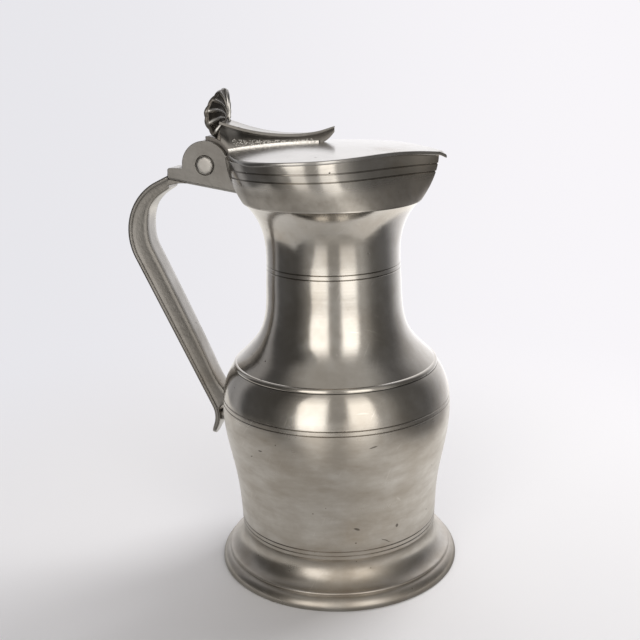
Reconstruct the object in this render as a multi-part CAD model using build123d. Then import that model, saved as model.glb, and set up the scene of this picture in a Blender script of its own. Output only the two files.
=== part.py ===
from build123d import *
import math
import os

# Pewter pitcher with a hinged lid. Millimetres, +Z up.
# The origin is the centre of the circle on which the foot stands.
# The spout points along +X and the handle along -X.

# Walls and clearances
body_wall = 2.2
collar_wall = 2.0
lid_gap = 0.3
knuckle_side_gap = 0.35
knuckle_end_gap = 1.0
pin_clearance = 0.05
cover_gap = 0.2

# Foot
foot_radius = 57.5
foot_land = 2.6
foot_edge = 0.9
foot_height = 20.0
foot_top_radius = 47.1
ovolo_height = 5.6
ovolo_inset = 3.3
ovolo_crown = 0.9
ring_height = 1.2
ring_groove = 0.5
cavetto_depth = 3.1

# Base disc, let into the top of the foot
base_thickness = 2.2
base_rebate = 1.1
base_solder_leg = 1.6

# Lower body, with its waist and its widest place as heights above the foot
lower_body_height = 79.0
waist_rise = 25.0
waist_radius = 49.0
belly_rise = 62.0
belly_radius = 53.9
shoulder_radius = 48.0
foot_slope = 0.03
shoulder_slope = 0.85

# Neck, with the places that shape it as heights above the shoulder
neck_height = 76.4
bead_height = 2.2
bead_crown = 0.6
neck_base_radius = 46.6
neck_low_rise = 16.0
neck_low_radius = 34.9
neck_waist_rise = 39.0
neck_waist_radius = 31.3
neck_high_rise = 63.0
neck_high_radius = 32.2
crease_radius = 40.1
neck_base_slope = 0.95
crease_slope = 1.05

# Incised lines
line_depth = 0.35
line_width = 0.6
line_pair_gap = 2.1
base_line_rise = 1.7
belly_line_rise = 62.0
neck_line_rise = 45.6
collar_line_drops = (3.8, 7.2)

# Collar, round at the crease and drawn to a point at the spout
collar_height = 20.0
collar_lap = 0.4
collar_fullness = 1.8
collar_levels = (0.0, 0.22, 0.48, 0.76, 1.0)
back_reach = 47.0
tip_reach = 48.2
back_quarter = (-34.5, 32.5)
side_back = (-12.0, 44.3)
side_front = (9.5, 40.6)
flank_start = (20.0, 31.4)
flank_middle = (29.5, 18.6)
flank_end = (39.0, 8.6)
flank_turn = 42.0

# Lid
lid_thickness = 1.6
lid_overhang = 3.4
lid_rise = 3.6
beak_length = 2.4
beak_drop = 1.6
lid_ear_gap = 0.7
lid_back = ((-48.0, 0.0), (-45.4, 9.7), (-40.9, 21.7), (-35.5, 32.0), (-27.2, 41.9))

# Hinge, with its pin behind the collar and below the rim
pin_offset = 11.0
pin_drop = 4.4
pin_radius = 2.5
ear_radius = 11.1
ear_thickness = 2.6
knuckle_width = 6.2
knuckle_rise = 1.8
boss_radius = 8.2
knuckle_start = 25.0
knuckle_end = 90.0
cover_radius = 4.3
cover_proud = 0.8
cover_depth = 0.6
arm_length = 18.5
arm_top_drop = 1.25
arm_corner = 1.2
arm_low_drop = 7.0
arm_slope = 0.175
cheek_depth = 8.0

# Handle, whose bend is placed from the arm's end
handle_width = 10.6
flange_width = 12.1
flange_thickness = 2.2
handle_step = 3.15
bend_out = 31.6
bend_drop = 15.0
bend_radius = 27.6
web_depths = (2.6, 7.0, 9.6, 10.3, 9.8, 8.7, 12.0)
web_places = (0.0, 0.12, 0.225, 0.35, 0.6, 0.8, 0.92)
web_end_rise = 5.4

# Strut between the tail of the handle and the lower body
strut_height = 68.0
strut_radius = 3.1
strut_length = 3.7
tail_bend_radius = 12.0
tail_rise = 1.0
tail_drop = 9.6
tail_curl = 3.8

# Wedge on the lid: distance from the pin, height over the lid, half widths at the top and foot
wedge_sections = (
    (7.4, 10.3, 7.0, 3.1),
    (17.0, 7.3, 6.2, 3.1),
    (30.0, 4.7, 4.6, 2.9),
    (44.0, 4.0, 2.9, 2.2),
    (53.0, 5.0, 1.6, 1.1),
)
wedge_tip_length = 59.8
wedge_tip_rise = 7.0
wedge_tip_depth = 2.0
wedge_tip_halves = (0.5, 0.4)
wedge_edge = 1.3
wedge_solder = 0.9

# Shares of the wedge's lean and height at the deepest place of its flanks
flank_share = 0.22
flank_level = 0.62

# Thumbpiece, a shell bowed forward over the end of the wedge, with ribs spread from its root
shell_front = 11.1
shell_middle_rise = 25.0
shell_axes = (12.8, 14.6, 22.7)
shell_root_rise = 19.0
shell_up = 14.9
shell_side = 12.2
shell_down = 8.3
shell_spread = 122.0
shell_points = 25
shell_ribs = 11
shell_rib_share = 0.5
shell_rib_reach = 1.3
shell_rim_bead = 1.5
shell_bead_place = 0.93
shell_plate = 1.2
shell_relief = 0.8
root_back = 3.6
root_front = 8.2
root_rise = 21.5

# Solder at the ears
ear_solder = 1.0
ear_solder_height = 14.0

shoulder = foot_height + lower_body_height
crease = shoulder + neck_height
rim = crease + collar_height
lid_middle = rim + lid_gap + lid_rise
lid_top = lid_middle + lid_thickness
pin_x = -(back_reach + pin_offset)
pin_z = rim - pin_drop
arm_end = pin_x - arm_length
ear_inside = knuckle_width / 2 + knuckle_side_gap
ear_outside = ear_inside + ear_thickness
knuckle_radius = ear_radius + knuckle_rise
arm_top = pin_z - arm_top_drop
plenty = 40.0

# How a solid lies about its place
standing = (Align.CENTER, Align.CENTER, Align.MIN)
hanging = (Align.CENTER, Align.CENTER, Align.MAX)
forward = (Align.MIN, Align.CENTER, Align.CENTER)


def largest(shape):
    """The shape as a plain solid."""
    return max(shape.solids(), key=lambda solid: solid.volume)


def upright(edges):
    """A face in the XZ plane from edges drawn in (x, z)."""
    return Plane.XZ * make_face(Curve() + edges)


def turned(edges):
    """A solid turned round the pitcher's axis from edges drawn in (radius, height)."""
    return revolve(upright(edges), Axis.Z)


def radius_at(edge, height):
    """The radius at which a body line reaches a height."""
    low, high = 0.0, 1.0
    for _ in range(40):
        middle = (low + high) / 2
        if (edge @ middle).Y < height:
            low = middle
        else:
            high = middle
    return (edge @ low).X


def incised(edge, heights):
    """Rings with a pointed section that cut incised lines into a body line."""
    rings = []
    for height in heights:
        radius = radius_at(edge, height)
        outside = radius + line_depth
        point = (radius - line_depth, height)
        upper = (outside, height + line_width)
        lower = (outside, height - line_width)
        rings.append(turned([Polyline(point, upper, lower, point)]))
    return rings


def lower_line(inset):
    """The line of the lower body from foot to shoulder, moved inwards by inset."""
    points = [
        (foot_top_radius - inset, foot_height),
        (waist_radius - inset, foot_height + waist_rise),
        (belly_radius - inset, foot_height + belly_rise),
        (shoulder_radius - inset, shoulder),
    ]
    return Spline(*points, tangents=[(foot_slope, 1.0), (-shoulder_slope, 1.0)])


def neck_line(inset):
    """The line of the neck from its bead to the crease, moved inwards by inset."""
    points = [
        (neck_base_radius - inset, shoulder + bead_height),
        (neck_low_radius - inset, shoulder + neck_low_rise),
        (neck_waist_radius - inset, shoulder + neck_waist_rise),
        (neck_high_radius - inset, shoulder + neck_high_rise),
        (crease_radius - inset, crease),
    ]
    return Spline(*points, tangents=[(-neck_base_slope, 1.0), (crease_slope, 1.0)])


def lower_core():
    """The lower body filled in, to trim what is seated against it."""
    edge = (shoulder_radius, shoulder)
    base = (foot_top_radius, foot_height)
    return turned([lower_line(0), Polyline(edge, (0, shoulder), (0, foot_height), base)])


def make_foot():
    ovolo_top = foot_radius - ovolo_inset
    ring_low = ovolo_height + ring_groove
    ring_top = ring_low + ring_height
    cove_low = ovolo_top - ring_groove
    cove_x = (cove_low + foot_top_radius) / 2 - cavetto_depth / math.sqrt(2)
    cove_z = (ring_top + foot_height) / 2 - cavetto_depth / math.sqrt(2)
    seat = foot_height - base_thickness
    rebate = foot_top_radius - base_rebate
    inner = foot_top_radius - body_wall - base_rebate
    land = foot_radius - foot_land
    return largest(turned([
        Line((land, 0), (foot_radius - foot_edge, 0)),
        RadiusArc((foot_radius - foot_edge, 0), (foot_radius, foot_edge), -foot_edge),
        ThreePointArc(
            (foot_radius, foot_edge),
            ((foot_radius + ovolo_top) / 2 + ovolo_crown, (foot_edge + ovolo_height) / 2 + ovolo_crown / 2),
            (ovolo_top, ovolo_height),
        ),
        Polyline(
            (ovolo_top, ovolo_height),
            (cove_low, ring_low),
            (ovolo_top, ring_low),
            (ovolo_top, ring_top - ring_groove),
            (cove_low, ring_top),
        ),
        ThreePointArc((cove_low, ring_top), (cove_x, cove_z), (foot_top_radius, foot_height)),
        Polyline(
            (foot_top_radius, foot_height),
            (rebate, foot_height),
            (rebate, seat),
            (inner, seat),
            (inner, seat - base_thickness),
        ),
        ThreePointArc((inner, seat - base_thickness), (cove_x - body_wall, cove_z - body_wall), (land, 0)),
    ]))


def make_base_disc():
    disc = Cylinder(foot_top_radius - base_rebate, base_thickness, align=hanging)
    return largest(Pos(0, 0, foot_height) * disc)


def make_base_solder():
    wall = foot_top_radius - body_wall
    reach = wall + body_wall / 2
    top = foot_height + base_solder_leg + body_wall / 2
    points = [(reach, foot_height), (reach, top), (wall - base_solder_leg, foot_height)]
    bead = turned([Polyline(*points, points[0])])
    return largest(bead & (lower_core() - make_lower_body()))


def make_lower_body():
    outer = lower_line(0)
    inner = lower_line(body_wall)
    body = turned([
        outer,
        Line((shoulder_radius, shoulder), (shoulder_radius - body_wall, shoulder)),
        inner,
        Line((foot_top_radius - body_wall, foot_height), (foot_top_radius, foot_height)),
    ])
    lines = [
        foot_height + base_line_rise,
        foot_height + base_line_rise + line_pair_gap,
        foot_height + belly_line_rise,
        foot_height + belly_line_rise + line_pair_gap,
    ]
    for ring in incised(outer, lines):
        body -= ring
    return largest(body)


def make_neck():
    outer = neck_line(0)
    inner = neck_line(body_wall)
    bead_top = shoulder + bead_height
    bead = ThreePointArc(
        (shoulder_radius, shoulder),
        ((shoulder_radius + neck_base_radius) / 2 + bead_crown, shoulder + bead_height / 2),
        (neck_base_radius, bead_top),
    )
    body = turned([
        outer,
        Line((crease_radius, crease), (crease_radius - body_wall, crease)),
        inner,
        Polyline(
            (neck_base_radius - body_wall, bead_top),
            (shoulder_radius - body_wall, shoulder),
            (shoulder_radius, shoulder),
        ),
        bead,
    ])
    for ring in incised(outer, [shoulder + neck_line_rise, shoulder + neck_line_rise + line_pair_gap]):
        body -= ring
    return largest(body)


def mouth_half(blend, grow):
    """Half of a level line of the collar: round at blend 0 and the rim's shape at blend 1."""
    points = [
        (-back_reach, 0.0),
        back_quarter,
        side_back,
        side_front,
        flank_start,
        flank_middle,
        flank_end,
        (tip_reach, 0.0),
    ]
    half = []
    for x, y in points:
        reach = math.hypot(x, y)
        level = (1 - blend) * (crease_radius + collar_lap) + blend * reach + grow
        half.append((x / reach * level, y / reach * level))
    return half


def mouth(blend, grow=0.0):
    """A level face of the collar, made larger all round by grow."""
    flank = math.radians(90 - flank_turn * blend)
    tip = (math.cos(flank), -math.sin(flank))
    side = Spline(*mouth_half(blend, grow), tangents=[(0.0, 1.0), tip])
    return make_face(Curve() + [side, mirror(side, about=Plane.XZ)])


def collar_blend(height):
    """How far the collar has left the circle for the rim's shape at a height over the crease."""
    return 1 - (1 - height / collar_height) ** collar_fullness


def collar_core(grow=0.0):
    """The collar filled in, and carried on above the rim."""
    faces = []
    for level in collar_levels:
        height = level * collar_height
        faces.append(Pos(0, 0, crease + height) * mouth(collar_blend(height), grow))
    faces.append(Pos(0, 0, rim + lid_rise) * mouth(1.0, grow))
    return loft(faces)


def dome(lift, reach):
    """Edges of the lid's lower line raised by lift, out to a reach past the beak."""
    radius = (back_reach ** 2 + lid_rise ** 2) / (2 * lid_rise)
    middle = lid_middle + lift
    start = tip_reach + lid_overhang - beak_length
    height = middle - radius + math.sqrt(radius ** 2 - start ** 2)
    return [
        RadiusArc((0, middle), (start, height), radius),
        Line((start, height), (reach, height - beak_drop * (reach - start) / beak_length)),
    ]


def under_dome(lift):
    """Everything near the lid that lies below its lower line raised by lift."""
    reach = 2 * tip_reach
    edges = dome(lift, reach)
    end = tuple(edges[-1] @ 1)[:2]
    floor = crease - plenty
    return turned(edges + [Polyline(end, (reach, floor), (0, floor), (0, lid_middle + lift))])


def make_lip_collar():
    collar = collar_core() - collar_core(-collar_wall)
    for drop in collar_line_drops:
        blend = collar_blend(collar_height - drop)
        ring = mouth(blend, line_width) - mouth(blend, -line_depth)
        collar -= Pos(0, 0, rim - drop - line_width / 2) * extrude(ring, line_width)
    return largest(collar & under_dome(-lid_gap))


def pin_rod(radius, length):
    """A cylinder on the hinge's axis, centred between the ears."""
    return Pos(pin_x, 0, pin_z) * Rot(90, 0, 0) * Cylinder(radius, length)


def lid_outline():
    """The lid from above: drawn in beside the hinge, and past the collar elsewhere."""
    front = mouth_half(1.0, lid_overhang)[2:]
    flank = math.radians(90 - flank_turn)
    side = Spline(*lid_back, *front, tangents=[(0.0, 1.0), (math.cos(flank), -math.sin(flank))])
    return make_face(Curve() + [side, mirror(side, about=Plane.XZ)])


def make_lid():
    prism = Pos(0, 0, rim - plenty / 2) * extrude(lid_outline(), plenty)
    sheet = under_dome(lid_thickness) - under_dome(0)
    lid = prism & sheet
    return largest(lid - pin_rod(knuckle_radius, 2 * (ear_outside + lid_ear_gap)))


def slab(outline, inside, outside):
    """An outline in (x, z) about the pin, made solid between two distances along Y."""
    placed = Pos(pin_x, pin_z) * outline
    solid = extrude(Plane.XZ * placed, (outside - inside))
    return Pos(0, -inside, 0) * solid


def both_sides(solid, side):
    """The near solid, or its mirror image on the far side."""
    return solid if side < 0 else mirror(solid, about=Plane.XZ)


def arm_low(place):
    """The height of the arm's lower edge about the pin, at a place along it."""
    return -arm_low_drop - arm_slope * (place + arm_length)


def arm_end_line():
    """The rounded upper corner of the arm's end, from its top down, in (x, z) about the pin."""
    high = (arm_corner - arm_length, -arm_top_drop)
    low = (-arm_length, -arm_top_drop - arm_corner)
    return high, low, RadiusArc(high, low, -arm_corner)


def ear_outline():
    """The arm, the round ear and the cheek that meets the collar, over one straight lower edge."""
    right = pin_offset + cheek_depth
    low_right = (right, arm_low(right))
    high, low, corner = arm_end_line()
    edge = Polyline(low, (-arm_length, arm_low(-arm_length)), low_right, (0, 0), (0, -arm_top_drop), high)
    arm = make_face(Curve() + [edge, corner])
    cheek = Polyline((0, 0), low_right, (right, ear_radius), (0, ear_radius / 2), (0, 0))
    left_end, right_end = (-plenty, arm_low(-plenty)), (plenty, arm_low(plenty))
    under = Polyline(left_end, right_end, (plenty, -plenty), (-plenty, -plenty), left_end)
    return arm + make_face(cheek) + Circle(ear_radius) - make_face(under)


def make_ear(side):
    ear = slab(ear_outline(), ear_inside, ear_outside)
    ear -= pin_rod(pin_radius, plenty)
    recess = Cylinder(cover_radius + cover_gap, 2 * cover_depth)
    ear -= Pos(pin_x, -ear_outside, pin_z) * Rot(90, 0, 0) * recess
    ear -= collar_core()
    lid_space = Pos(pin_x + ear_radius / 2, 0, rim) * Box(
        plenty, plenty, plenty, align=(Align.MIN, Align.CENTER, Align.MIN)
    )
    ear -= lid_space - pin_rod(ear_radius, plenty)
    return largest(both_sides(ear, side))


def make_ear_solder(side):
    skin = collar_core(ear_solder) - collar_core()
    strip = Pos(-back_reach, -ear_outside, rim - lid_rise) * Box(
        plenty, ear_solder, ear_solder_height, align=(Align.CENTER, Align.MAX, Align.MAX)
    )
    return largest(both_sides(skin & strip, side))


def make_hinge_block():
    end = -arm_length
    start = -knuckle_radius - knuckle_end_gap
    high, low, corner = arm_end_line()
    edge = Polyline(low, (end, arm_low(end)), (start, arm_low(start)), (start, -arm_top_drop), high)
    outline = make_face(Curve() + [edge, corner])
    return largest(slab(outline, -ear_inside, ear_inside))


def make_hinge_pin():
    return largest(pin_rod(pin_radius, 2 * (ear_outside - cover_depth)))


def make_pin_cover(side):
    crown = (cover_radius ** 2 + cover_proud ** 2) / (2 * cover_proud)
    height = cover_depth + cover_proud
    ball = Pos(0, 0, height - crown) * Sphere(crown)
    cover = ball & Cylinder(cover_radius, height, align=standing)
    cover = Pos(pin_x, cover_depth - ear_outside, pin_z) * Rot(90, 0, 0) * cover
    return largest(both_sides(cover, side))


def make_lid_knuckle():
    far = 2 * knuckle_radius
    middle = (knuckle_start + knuckle_end) / 2
    corners = [(0, 0)]
    for angle in (knuckle_start, middle, knuckle_end):
        turn = math.radians(angle)
        corners.append((far * math.cos(turn), far * math.sin(turn)))
    sector = make_face(Polyline(*corners, (0, 0))) & Circle(knuckle_radius)
    outline = sector + Circle(boss_radius) - Circle(pin_radius + pin_clearance)
    return largest(slab(outline, -knuckle_width / 2, knuckle_width / 2))


def wedge_section(place, top, foot, top_half, foot_half):
    """A section of the wedge across the lid: a flat top over concave flanks."""
    lip = top - wedge_edge
    low = foot - wedge_edge
    waist = foot_half + (top_half - foot_half) * flank_share
    belt = foot + (lip - foot) * flank_level
    flank = [
        Line((foot_half, low), (foot_half, foot)),
        ThreePointArc((foot_half, foot), (waist, belt), (top_half, lip)),
        Line((top_half, lip), (top_half, top)),
    ]
    other = [mirror(edge, about=Plane.YZ) for edge in flank]
    face = [Line((top_half, top), (-top_half, top)), Line((-foot_half, low), (foot_half, low))]
    across = Plane(origin=(place, 0, 0), x_dir=(0, 1, 0), z_dir=(1, 0, 0))
    return across * make_face(Curve() + flank + other + face)


def wedge_solid():
    """The wedge from the knuckle to its tip, lofted through its sections."""
    radius = (back_reach ** 2 + lid_rise ** 2) / (2 * lid_rise)
    sections = []
    for distance, rise, top_half, foot_half in wedge_sections:
        place = pin_x + distance
        foot = lid_top - radius + math.sqrt(radius ** 2 - place ** 2)
        sections.append(wedge_section(place, lid_top + rise, foot, top_half, foot_half))
    tip_top = lid_top + wedge_tip_rise
    tip_place = pin_x + wedge_tip_length
    sections.append(wedge_section(tip_place, tip_top, tip_top - wedge_tip_depth, *wedge_tip_halves))
    return loft(sections)


def make_lid_wedge():
    wedge = wedge_solid() - under_dome(lid_thickness)
    return largest(wedge - pin_rod(knuckle_radius, plenty) - shell_solid())


def make_wedge_solder(side):
    distances = [section[0] for section in wedge_sections]
    halves = [section[3] for section in wedge_sections]
    edge = [(pin_x + d, -h - wedge_solder) for d, h in zip(distances, halves)]
    nose = (pin_x + distances[-1] + wedge_solder, 0)
    outline = make_face(Polyline((edge[0][0], 0), *edge, nose, (edge[0][0], 0)))
    prism = Pos(0, 0, rim) * extrude(outline, plenty)
    band = under_dome(lid_thickness + wedge_solder) - under_dome(lid_thickness)
    solder = prism & band
    solder -= wedge_solid()
    return largest(both_sides(largest(solder - pin_rod(knuckle_radius, plenty)), side))


def ovoid(inset):
    """The rounded body whose front the shell follows, made smaller by inset."""
    ball = scale(Sphere(1), by=tuple(axis - inset for axis in shell_axes))
    return Pos(pin_x + shell_front - shell_axes[0], 0, pin_z + shell_middle_rise) * ball


def shell_point(angle, share=1.0):
    """A place on the shell seen from the front, at a share of the reach at an angle."""
    turn = math.radians(angle)
    height = shell_up if abs(angle) < 90 else shell_down
    reach = share / math.hypot(math.cos(turn) / height, math.sin(turn) / shell_side)
    return reach * math.sin(turn), reach * math.cos(turn)


def shell_fan():
    """The outline of the shell from the front, with a bead on its rim at each rib, and its ribs."""
    turns = [2 * index / (shell_points - 1) - 1 for index in range(shell_points)]
    edge = [shell_point(shell_spread * turn) for turn in turns]
    fan = make_face(Curve() + [Spline(*edge), Line(edge[-1], (0, 0)), Line((0, 0), edge[0])])
    ribs = Circle(shell_rim_bead)
    step = 2 * shell_spread / shell_ribs
    for index in range(shell_ribs):
        angle = (index + 0.5) * step - shell_spread
        fan += Pos(*shell_point(angle, shell_bead_place)) * Circle(shell_rim_bead)
        half = step * shell_rib_share / 2
        first = shell_point(angle - half, shell_rib_reach)
        last = shell_point(angle + half, shell_rib_reach)
        ribs += make_face(Polyline((0, 0), first, last, (0, 0)))
    return fan, ribs


def shell_solid():
    """The shell in place: a bowed plate with raised ribs, on a root that stands on the knuckle."""
    fan, ribs = shell_fan()
    centre_x = pin_x + shell_front - shell_axes[0]
    root = Pos(centre_x, 0, pin_z + shell_root_rise)
    front = root * extrude(Plane.YZ * fan, plenty)
    raised = root * extrude(Plane.YZ * ribs, plenty)
    plate = (ovoid(shell_relief) - ovoid(shell_relief + shell_plate)) & front
    relief = (ovoid(0) - ovoid(shell_relief + shell_plate / 2)) & front & raised
    stem = Pos(pin_x + root_back, 0, pin_z) * Box(
        root_front - root_back, knuckle_width, root_rise, align=(Align.MIN, Align.CENTER, Align.MIN)
    )
    return plate + relief + (stem & ovoid(shell_relief))


def make_thumbpiece():
    return largest(shell_solid() - pin_rod(knuckle_radius, plenty))


def handle_path():
    """The back of the handle in (x, z), from inside the arm's end down to the tail's tip."""
    top = (arm_end, arm_top - handle_step)
    bend = (top[0] - bend_out, top[1] - bend_drop)
    slope = bend_drop / bend_out
    start = (top[0] + flange_thickness, top[1] + flange_thickness * slope)
    tail_x = -(radius_at(lower_line(0), strut_height) + strut_length + flange_thickness)
    tail = (tail_x, strut_height + tail_rise)
    tip = (tail_x - tail_curl, strut_height + tail_rise - tail_drop)
    return FilletPolyline(start, bend, tail, tip, radius=[bend_radius, tail_bend_radius])


def make_handle():
    path = handle_path()
    start = path @ 0
    along = path % 0
    across = Plane(origin=(start.X, 0, start.Y), x_dir=(0, 1, 0), z_dir=(along.X, 0, along.Y))
    strip = across * Rectangle(flange_width, flange_thickness, align=(Align.CENTER, Align.MIN))
    flange = sweep(strip, Plane.XZ * path)
    inner = []
    for place, depth in zip(web_places, web_depths):
        point = path @ place
        way = path % place
        inner.append((point.X - way.Y * depth, point.Y + way.X * depth))
    top = (start.X, start.Y)
    foot = tuple(path @ 1)[:2]
    web_face = make_face(Curve() + [path, Line(foot, inner[-1]), Spline(*inner), Line(inner[0], top)])
    web = extrude(Plane.XZ * web_face, handle_width / 2, both=True)
    web_end = strut_height + web_end_rise
    web -= Pos(0, 0, web_end) * Box(4 * back_reach, plenty, plenty, align=hanging)
    handle = flange + web
    handle -= Pos(arm_end, 0, rim) * Box(plenty, plenty, plenty, align=forward)
    return largest(handle - lower_core())


def make_strut():
    """A round strut that fills the space between the tail and the lower body."""
    body_x = -radius_at(lower_line(0), strut_height)
    length = strut_length + 2 * flange_thickness
    rod = Pos(body_x, 0, strut_height) * Rot(0, 90, 0) * Cylinder(strut_radius, 2 * length)
    return largest(rod - lower_core() - make_handle())


pieces = {
    "base_disc": make_base_disc(),
    "base_solder": make_base_solder(),
    "foot": make_foot(),
    "lower_body": make_lower_body(),
    "neck": make_neck(),
    "lip_collar": make_lip_collar(),
    "hinge_ear_near": make_ear(-1),
    "hinge_ear_far": make_ear(1),
    "ear_solder_near": make_ear_solder(-1),
    "ear_solder_far": make_ear_solder(1),
    "hinge_block": make_hinge_block(),
    "hinge_pin": make_hinge_pin(),
    "pin_cover_near": make_pin_cover(-1),
    "pin_cover_far": make_pin_cover(1),
    "handle": make_handle(),
    "handle_strut": make_strut(),
    "lid": make_lid(),
    "lid_knuckle": make_lid_knuckle(),
    "lid_wedge": make_lid_wedge(),
    "wedge_solder_near": make_wedge_solder(-1),
    "wedge_solder_far": make_wedge_solder(1),
    "thumbpiece": make_thumbpiece(),
}

os.makedirs("parts", exist_ok=True)
for name, piece in pieces.items():
    export_step(piece, f"parts/{name}.step")
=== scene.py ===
import math

import bmesh
import bpy
import numpy as np
from mathutils import Matrix, Vector


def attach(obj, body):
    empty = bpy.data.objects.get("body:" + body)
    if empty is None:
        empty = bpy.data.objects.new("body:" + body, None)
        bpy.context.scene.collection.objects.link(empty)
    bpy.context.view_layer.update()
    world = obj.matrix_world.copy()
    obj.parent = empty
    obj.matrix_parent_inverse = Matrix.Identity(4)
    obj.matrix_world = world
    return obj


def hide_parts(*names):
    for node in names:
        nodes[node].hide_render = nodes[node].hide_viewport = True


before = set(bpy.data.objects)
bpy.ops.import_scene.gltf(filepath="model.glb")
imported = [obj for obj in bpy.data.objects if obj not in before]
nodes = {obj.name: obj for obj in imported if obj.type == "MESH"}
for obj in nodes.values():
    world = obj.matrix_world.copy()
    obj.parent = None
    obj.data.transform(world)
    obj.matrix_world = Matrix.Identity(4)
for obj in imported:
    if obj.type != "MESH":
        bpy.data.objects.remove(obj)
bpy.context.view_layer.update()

# Millimetres, as in the drawings of the pitcher
mm = 0.001

# Foot
foot_radius = 57.5
foot_land = 2.6
foot_edge = 0.9
foot_height = 20.0
foot_top_radius = 47.1
ovolo_height = 5.6
ovolo_inset = 3.3
ovolo_crown = 0.9
ring_height = 1.2
ring_groove = 0.5
cavetto_depth = 3.1
base_thickness = 2.2
base_rebate = 1.1
body_wall = 2.2

# Lower body and neck
shoulder = foot_height + 79.0
crease = shoulder + 76.4
low_line = foot_height + 1.7
belly = foot_height + 62.0
lower_points = [(foot_top_radius, foot_height), (49.0, foot_height + 25.0), (53.9, belly), (48.0, shoulder)]
lower_ends = ((0.03, 1.0), (-0.85, 1.0))
bead_height = 2.2
bead_crown = 0.6
neck_points = [
    (46.6, shoulder + bead_height),
    (34.9, shoulder + 16.0),
    (31.3, shoulder + 39.0),
    (32.2, shoulder + 63.0),
    (40.1, crease),
]
neck_ends = ((-0.95, 1.0), (1.05, 1.0))
line_depth = 0.35
line_width = 0.6
line_gap = 2.1
line_shape = (-1.3, -1.0, -0.55, -0.2, 0.0, 0.2, 0.55, 1.0, 1.3)
neck_line = shoulder + 45.6
lower_lines = (low_line, low_line + line_gap, belly, belly + line_gap)
neck_lines = (neck_line, neck_line + line_gap)

# Collar
collar_height = 20.0
rim = crease + collar_height
collar_wall = 2.0
collar_lap = 0.4
collar_fullness = 1.8
collar_line_drops = (3.8, 7.2)
lip_profile = ((0.0, 0.55), (0.12, 0.18), (0.45, 0.0), (collar_wall - 0.45, 0.0), (collar_wall, 0.3))
back_reach = 47.0
tip_reach = 48.2
mouth_points = [
    (-back_reach, 0.0),
    (-34.5, 32.5),
    (-12.0, 44.3),
    (9.5, 40.6),
    (20.0, 31.4),
    (29.5, 18.6),
    (39.0, 8.6),
    (tip_reach, 0.0),
]
flank_turn = 42.0

# Lid
lid_gap = 0.3
lid_rise = 3.6
lid_thickness = 1.6
lid_overhang = 3.4
lid_back = [(-48.0, 0.0), (-45.4, 9.7), (-40.9, 21.7), (-35.5, 32.0), (-27.2, 41.9)]
lid_middle = rim + lid_gap + lid_rise
lid_top = lid_middle + lid_thickness
beak_length = 2.4
beak_drop = 1.6
lid_edge = [(0.62, 1.6), (0.32, 1.55), (0.1, 1.38), (0.0, 1.1)]
lid_edge += [(0.0, 0.55), (0.12, 0.2), (0.35, 0.03), (0.7, 0.0)]

# Where lines and joints are painted dark (dirt in the incised lines, painted shade in the joints), the
# height below which the metal is dull, and the rougher collar foot with its painted shade
seam_heights = (*lower_lines, *neck_lines, shoulder + 0.1, crease - 0.1, rim - 3.8, rim - 7.2)
dull_top = 86.0
collar_foot = crease - 0.2

# Dark marks on the lower body: degrees round it, height, half length, half width and slope
mark_radius = 50.0
body_marks = [(22.9, 35.0, 1.6, 0.55, -0.3), (40.0, 27.0, 2.6, 0.3, -0.5), (30.0, 76.0, 1.8, 0.35, 0.2)]
body_marks += [(-26.0, 71.0, 1.2, 0.4, 0.1), (-33.0, 66.5, 0.8, 0.3, 0.4), (47.0, 33.0, 0.9, 0.9, 0.0)]

# Hinge
pin_x = -(back_reach + 11.0)
pin_z = rim - 4.4
ear_radius = 11.1
knuckle_radius = ear_radius + 1.8
knuckle_width = 6.2
ear_outside = knuckle_width / 2 + 0.35 + 2.6
lid_notch = 0.7
cover_radius = 4.3
cover_depth = 0.6
cover_proud = 0.8
cover_shape = ((0.0, 1.0), (0.45, 0.99), (0.7, 0.95), (0.82, 0.85), (0.9, 0.6), (0.955, 0.2))
cover_side = 0.985
arm_length = 18.5
arm_end = pin_x - arm_length
arm_top = pin_z - 1.25
arm_low_drop = 7.0
arm_slope = 0.175
ear_chamfer = 1.3

# Handle
handle_width = 10.6
flange_width = 12.1
flange_thickness = 2.2
flange_crown = 0.25
flange_round = 0.55
web_hollow = 0.12
handle_step = 3.15
bend_out = 31.6
bend_drop = 15.0
bend_radius = 27.6
web_depths = (4.6, 5.8, 7.1, 9.6, 10.3, 9.8, 8.7, 12.0)
web_places = (0.0, 0.035, 0.12, 0.225, 0.35, 0.6, 0.8, 0.92)
lap_length = 8.5
lap_depth = 2.4
strut_height = 68.0
strut_length = 3.7
web_end = strut_height + 5.4
handle_clip = pin_z - 20.0
tail_rise = 1.0
tail_drop = 9.6
tail_curl = 3.8
tail_bend_radius = 12.0

# Wedge: distance from the pin, height over the lid, half widths at the top and foot
wedge_sections = (
    (7.4, 10.3, 7.0, 3.1),
    (17.0, 7.3, 6.2, 3.1),
    (30.0, 4.7, 4.6, 2.9),
    (44.0, 4.0, 2.9, 2.2),
    (53.0, 5.0, 1.6, 1.1),
    (59.8, 7.0, 0.5, 0.4),
)
wedge_tip_depth = 2.0
wedge_edge = 1.3
flank_share = 0.22
flank_level = 0.62

# Solder: where its beads run along the wedge and beside the ears, and their spacing, radius and scatter
wedge_beads = (13.5, 50.0)
wedge_bead_rows = (0.16, 0.3, 0.43)
wedge_bead_sizes = (0.4, 0.36, 0.42)
ear_beads = (3.0, 19.0)
ear_bead_sizes = (0.7, 0.4, 0.18)

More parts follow.
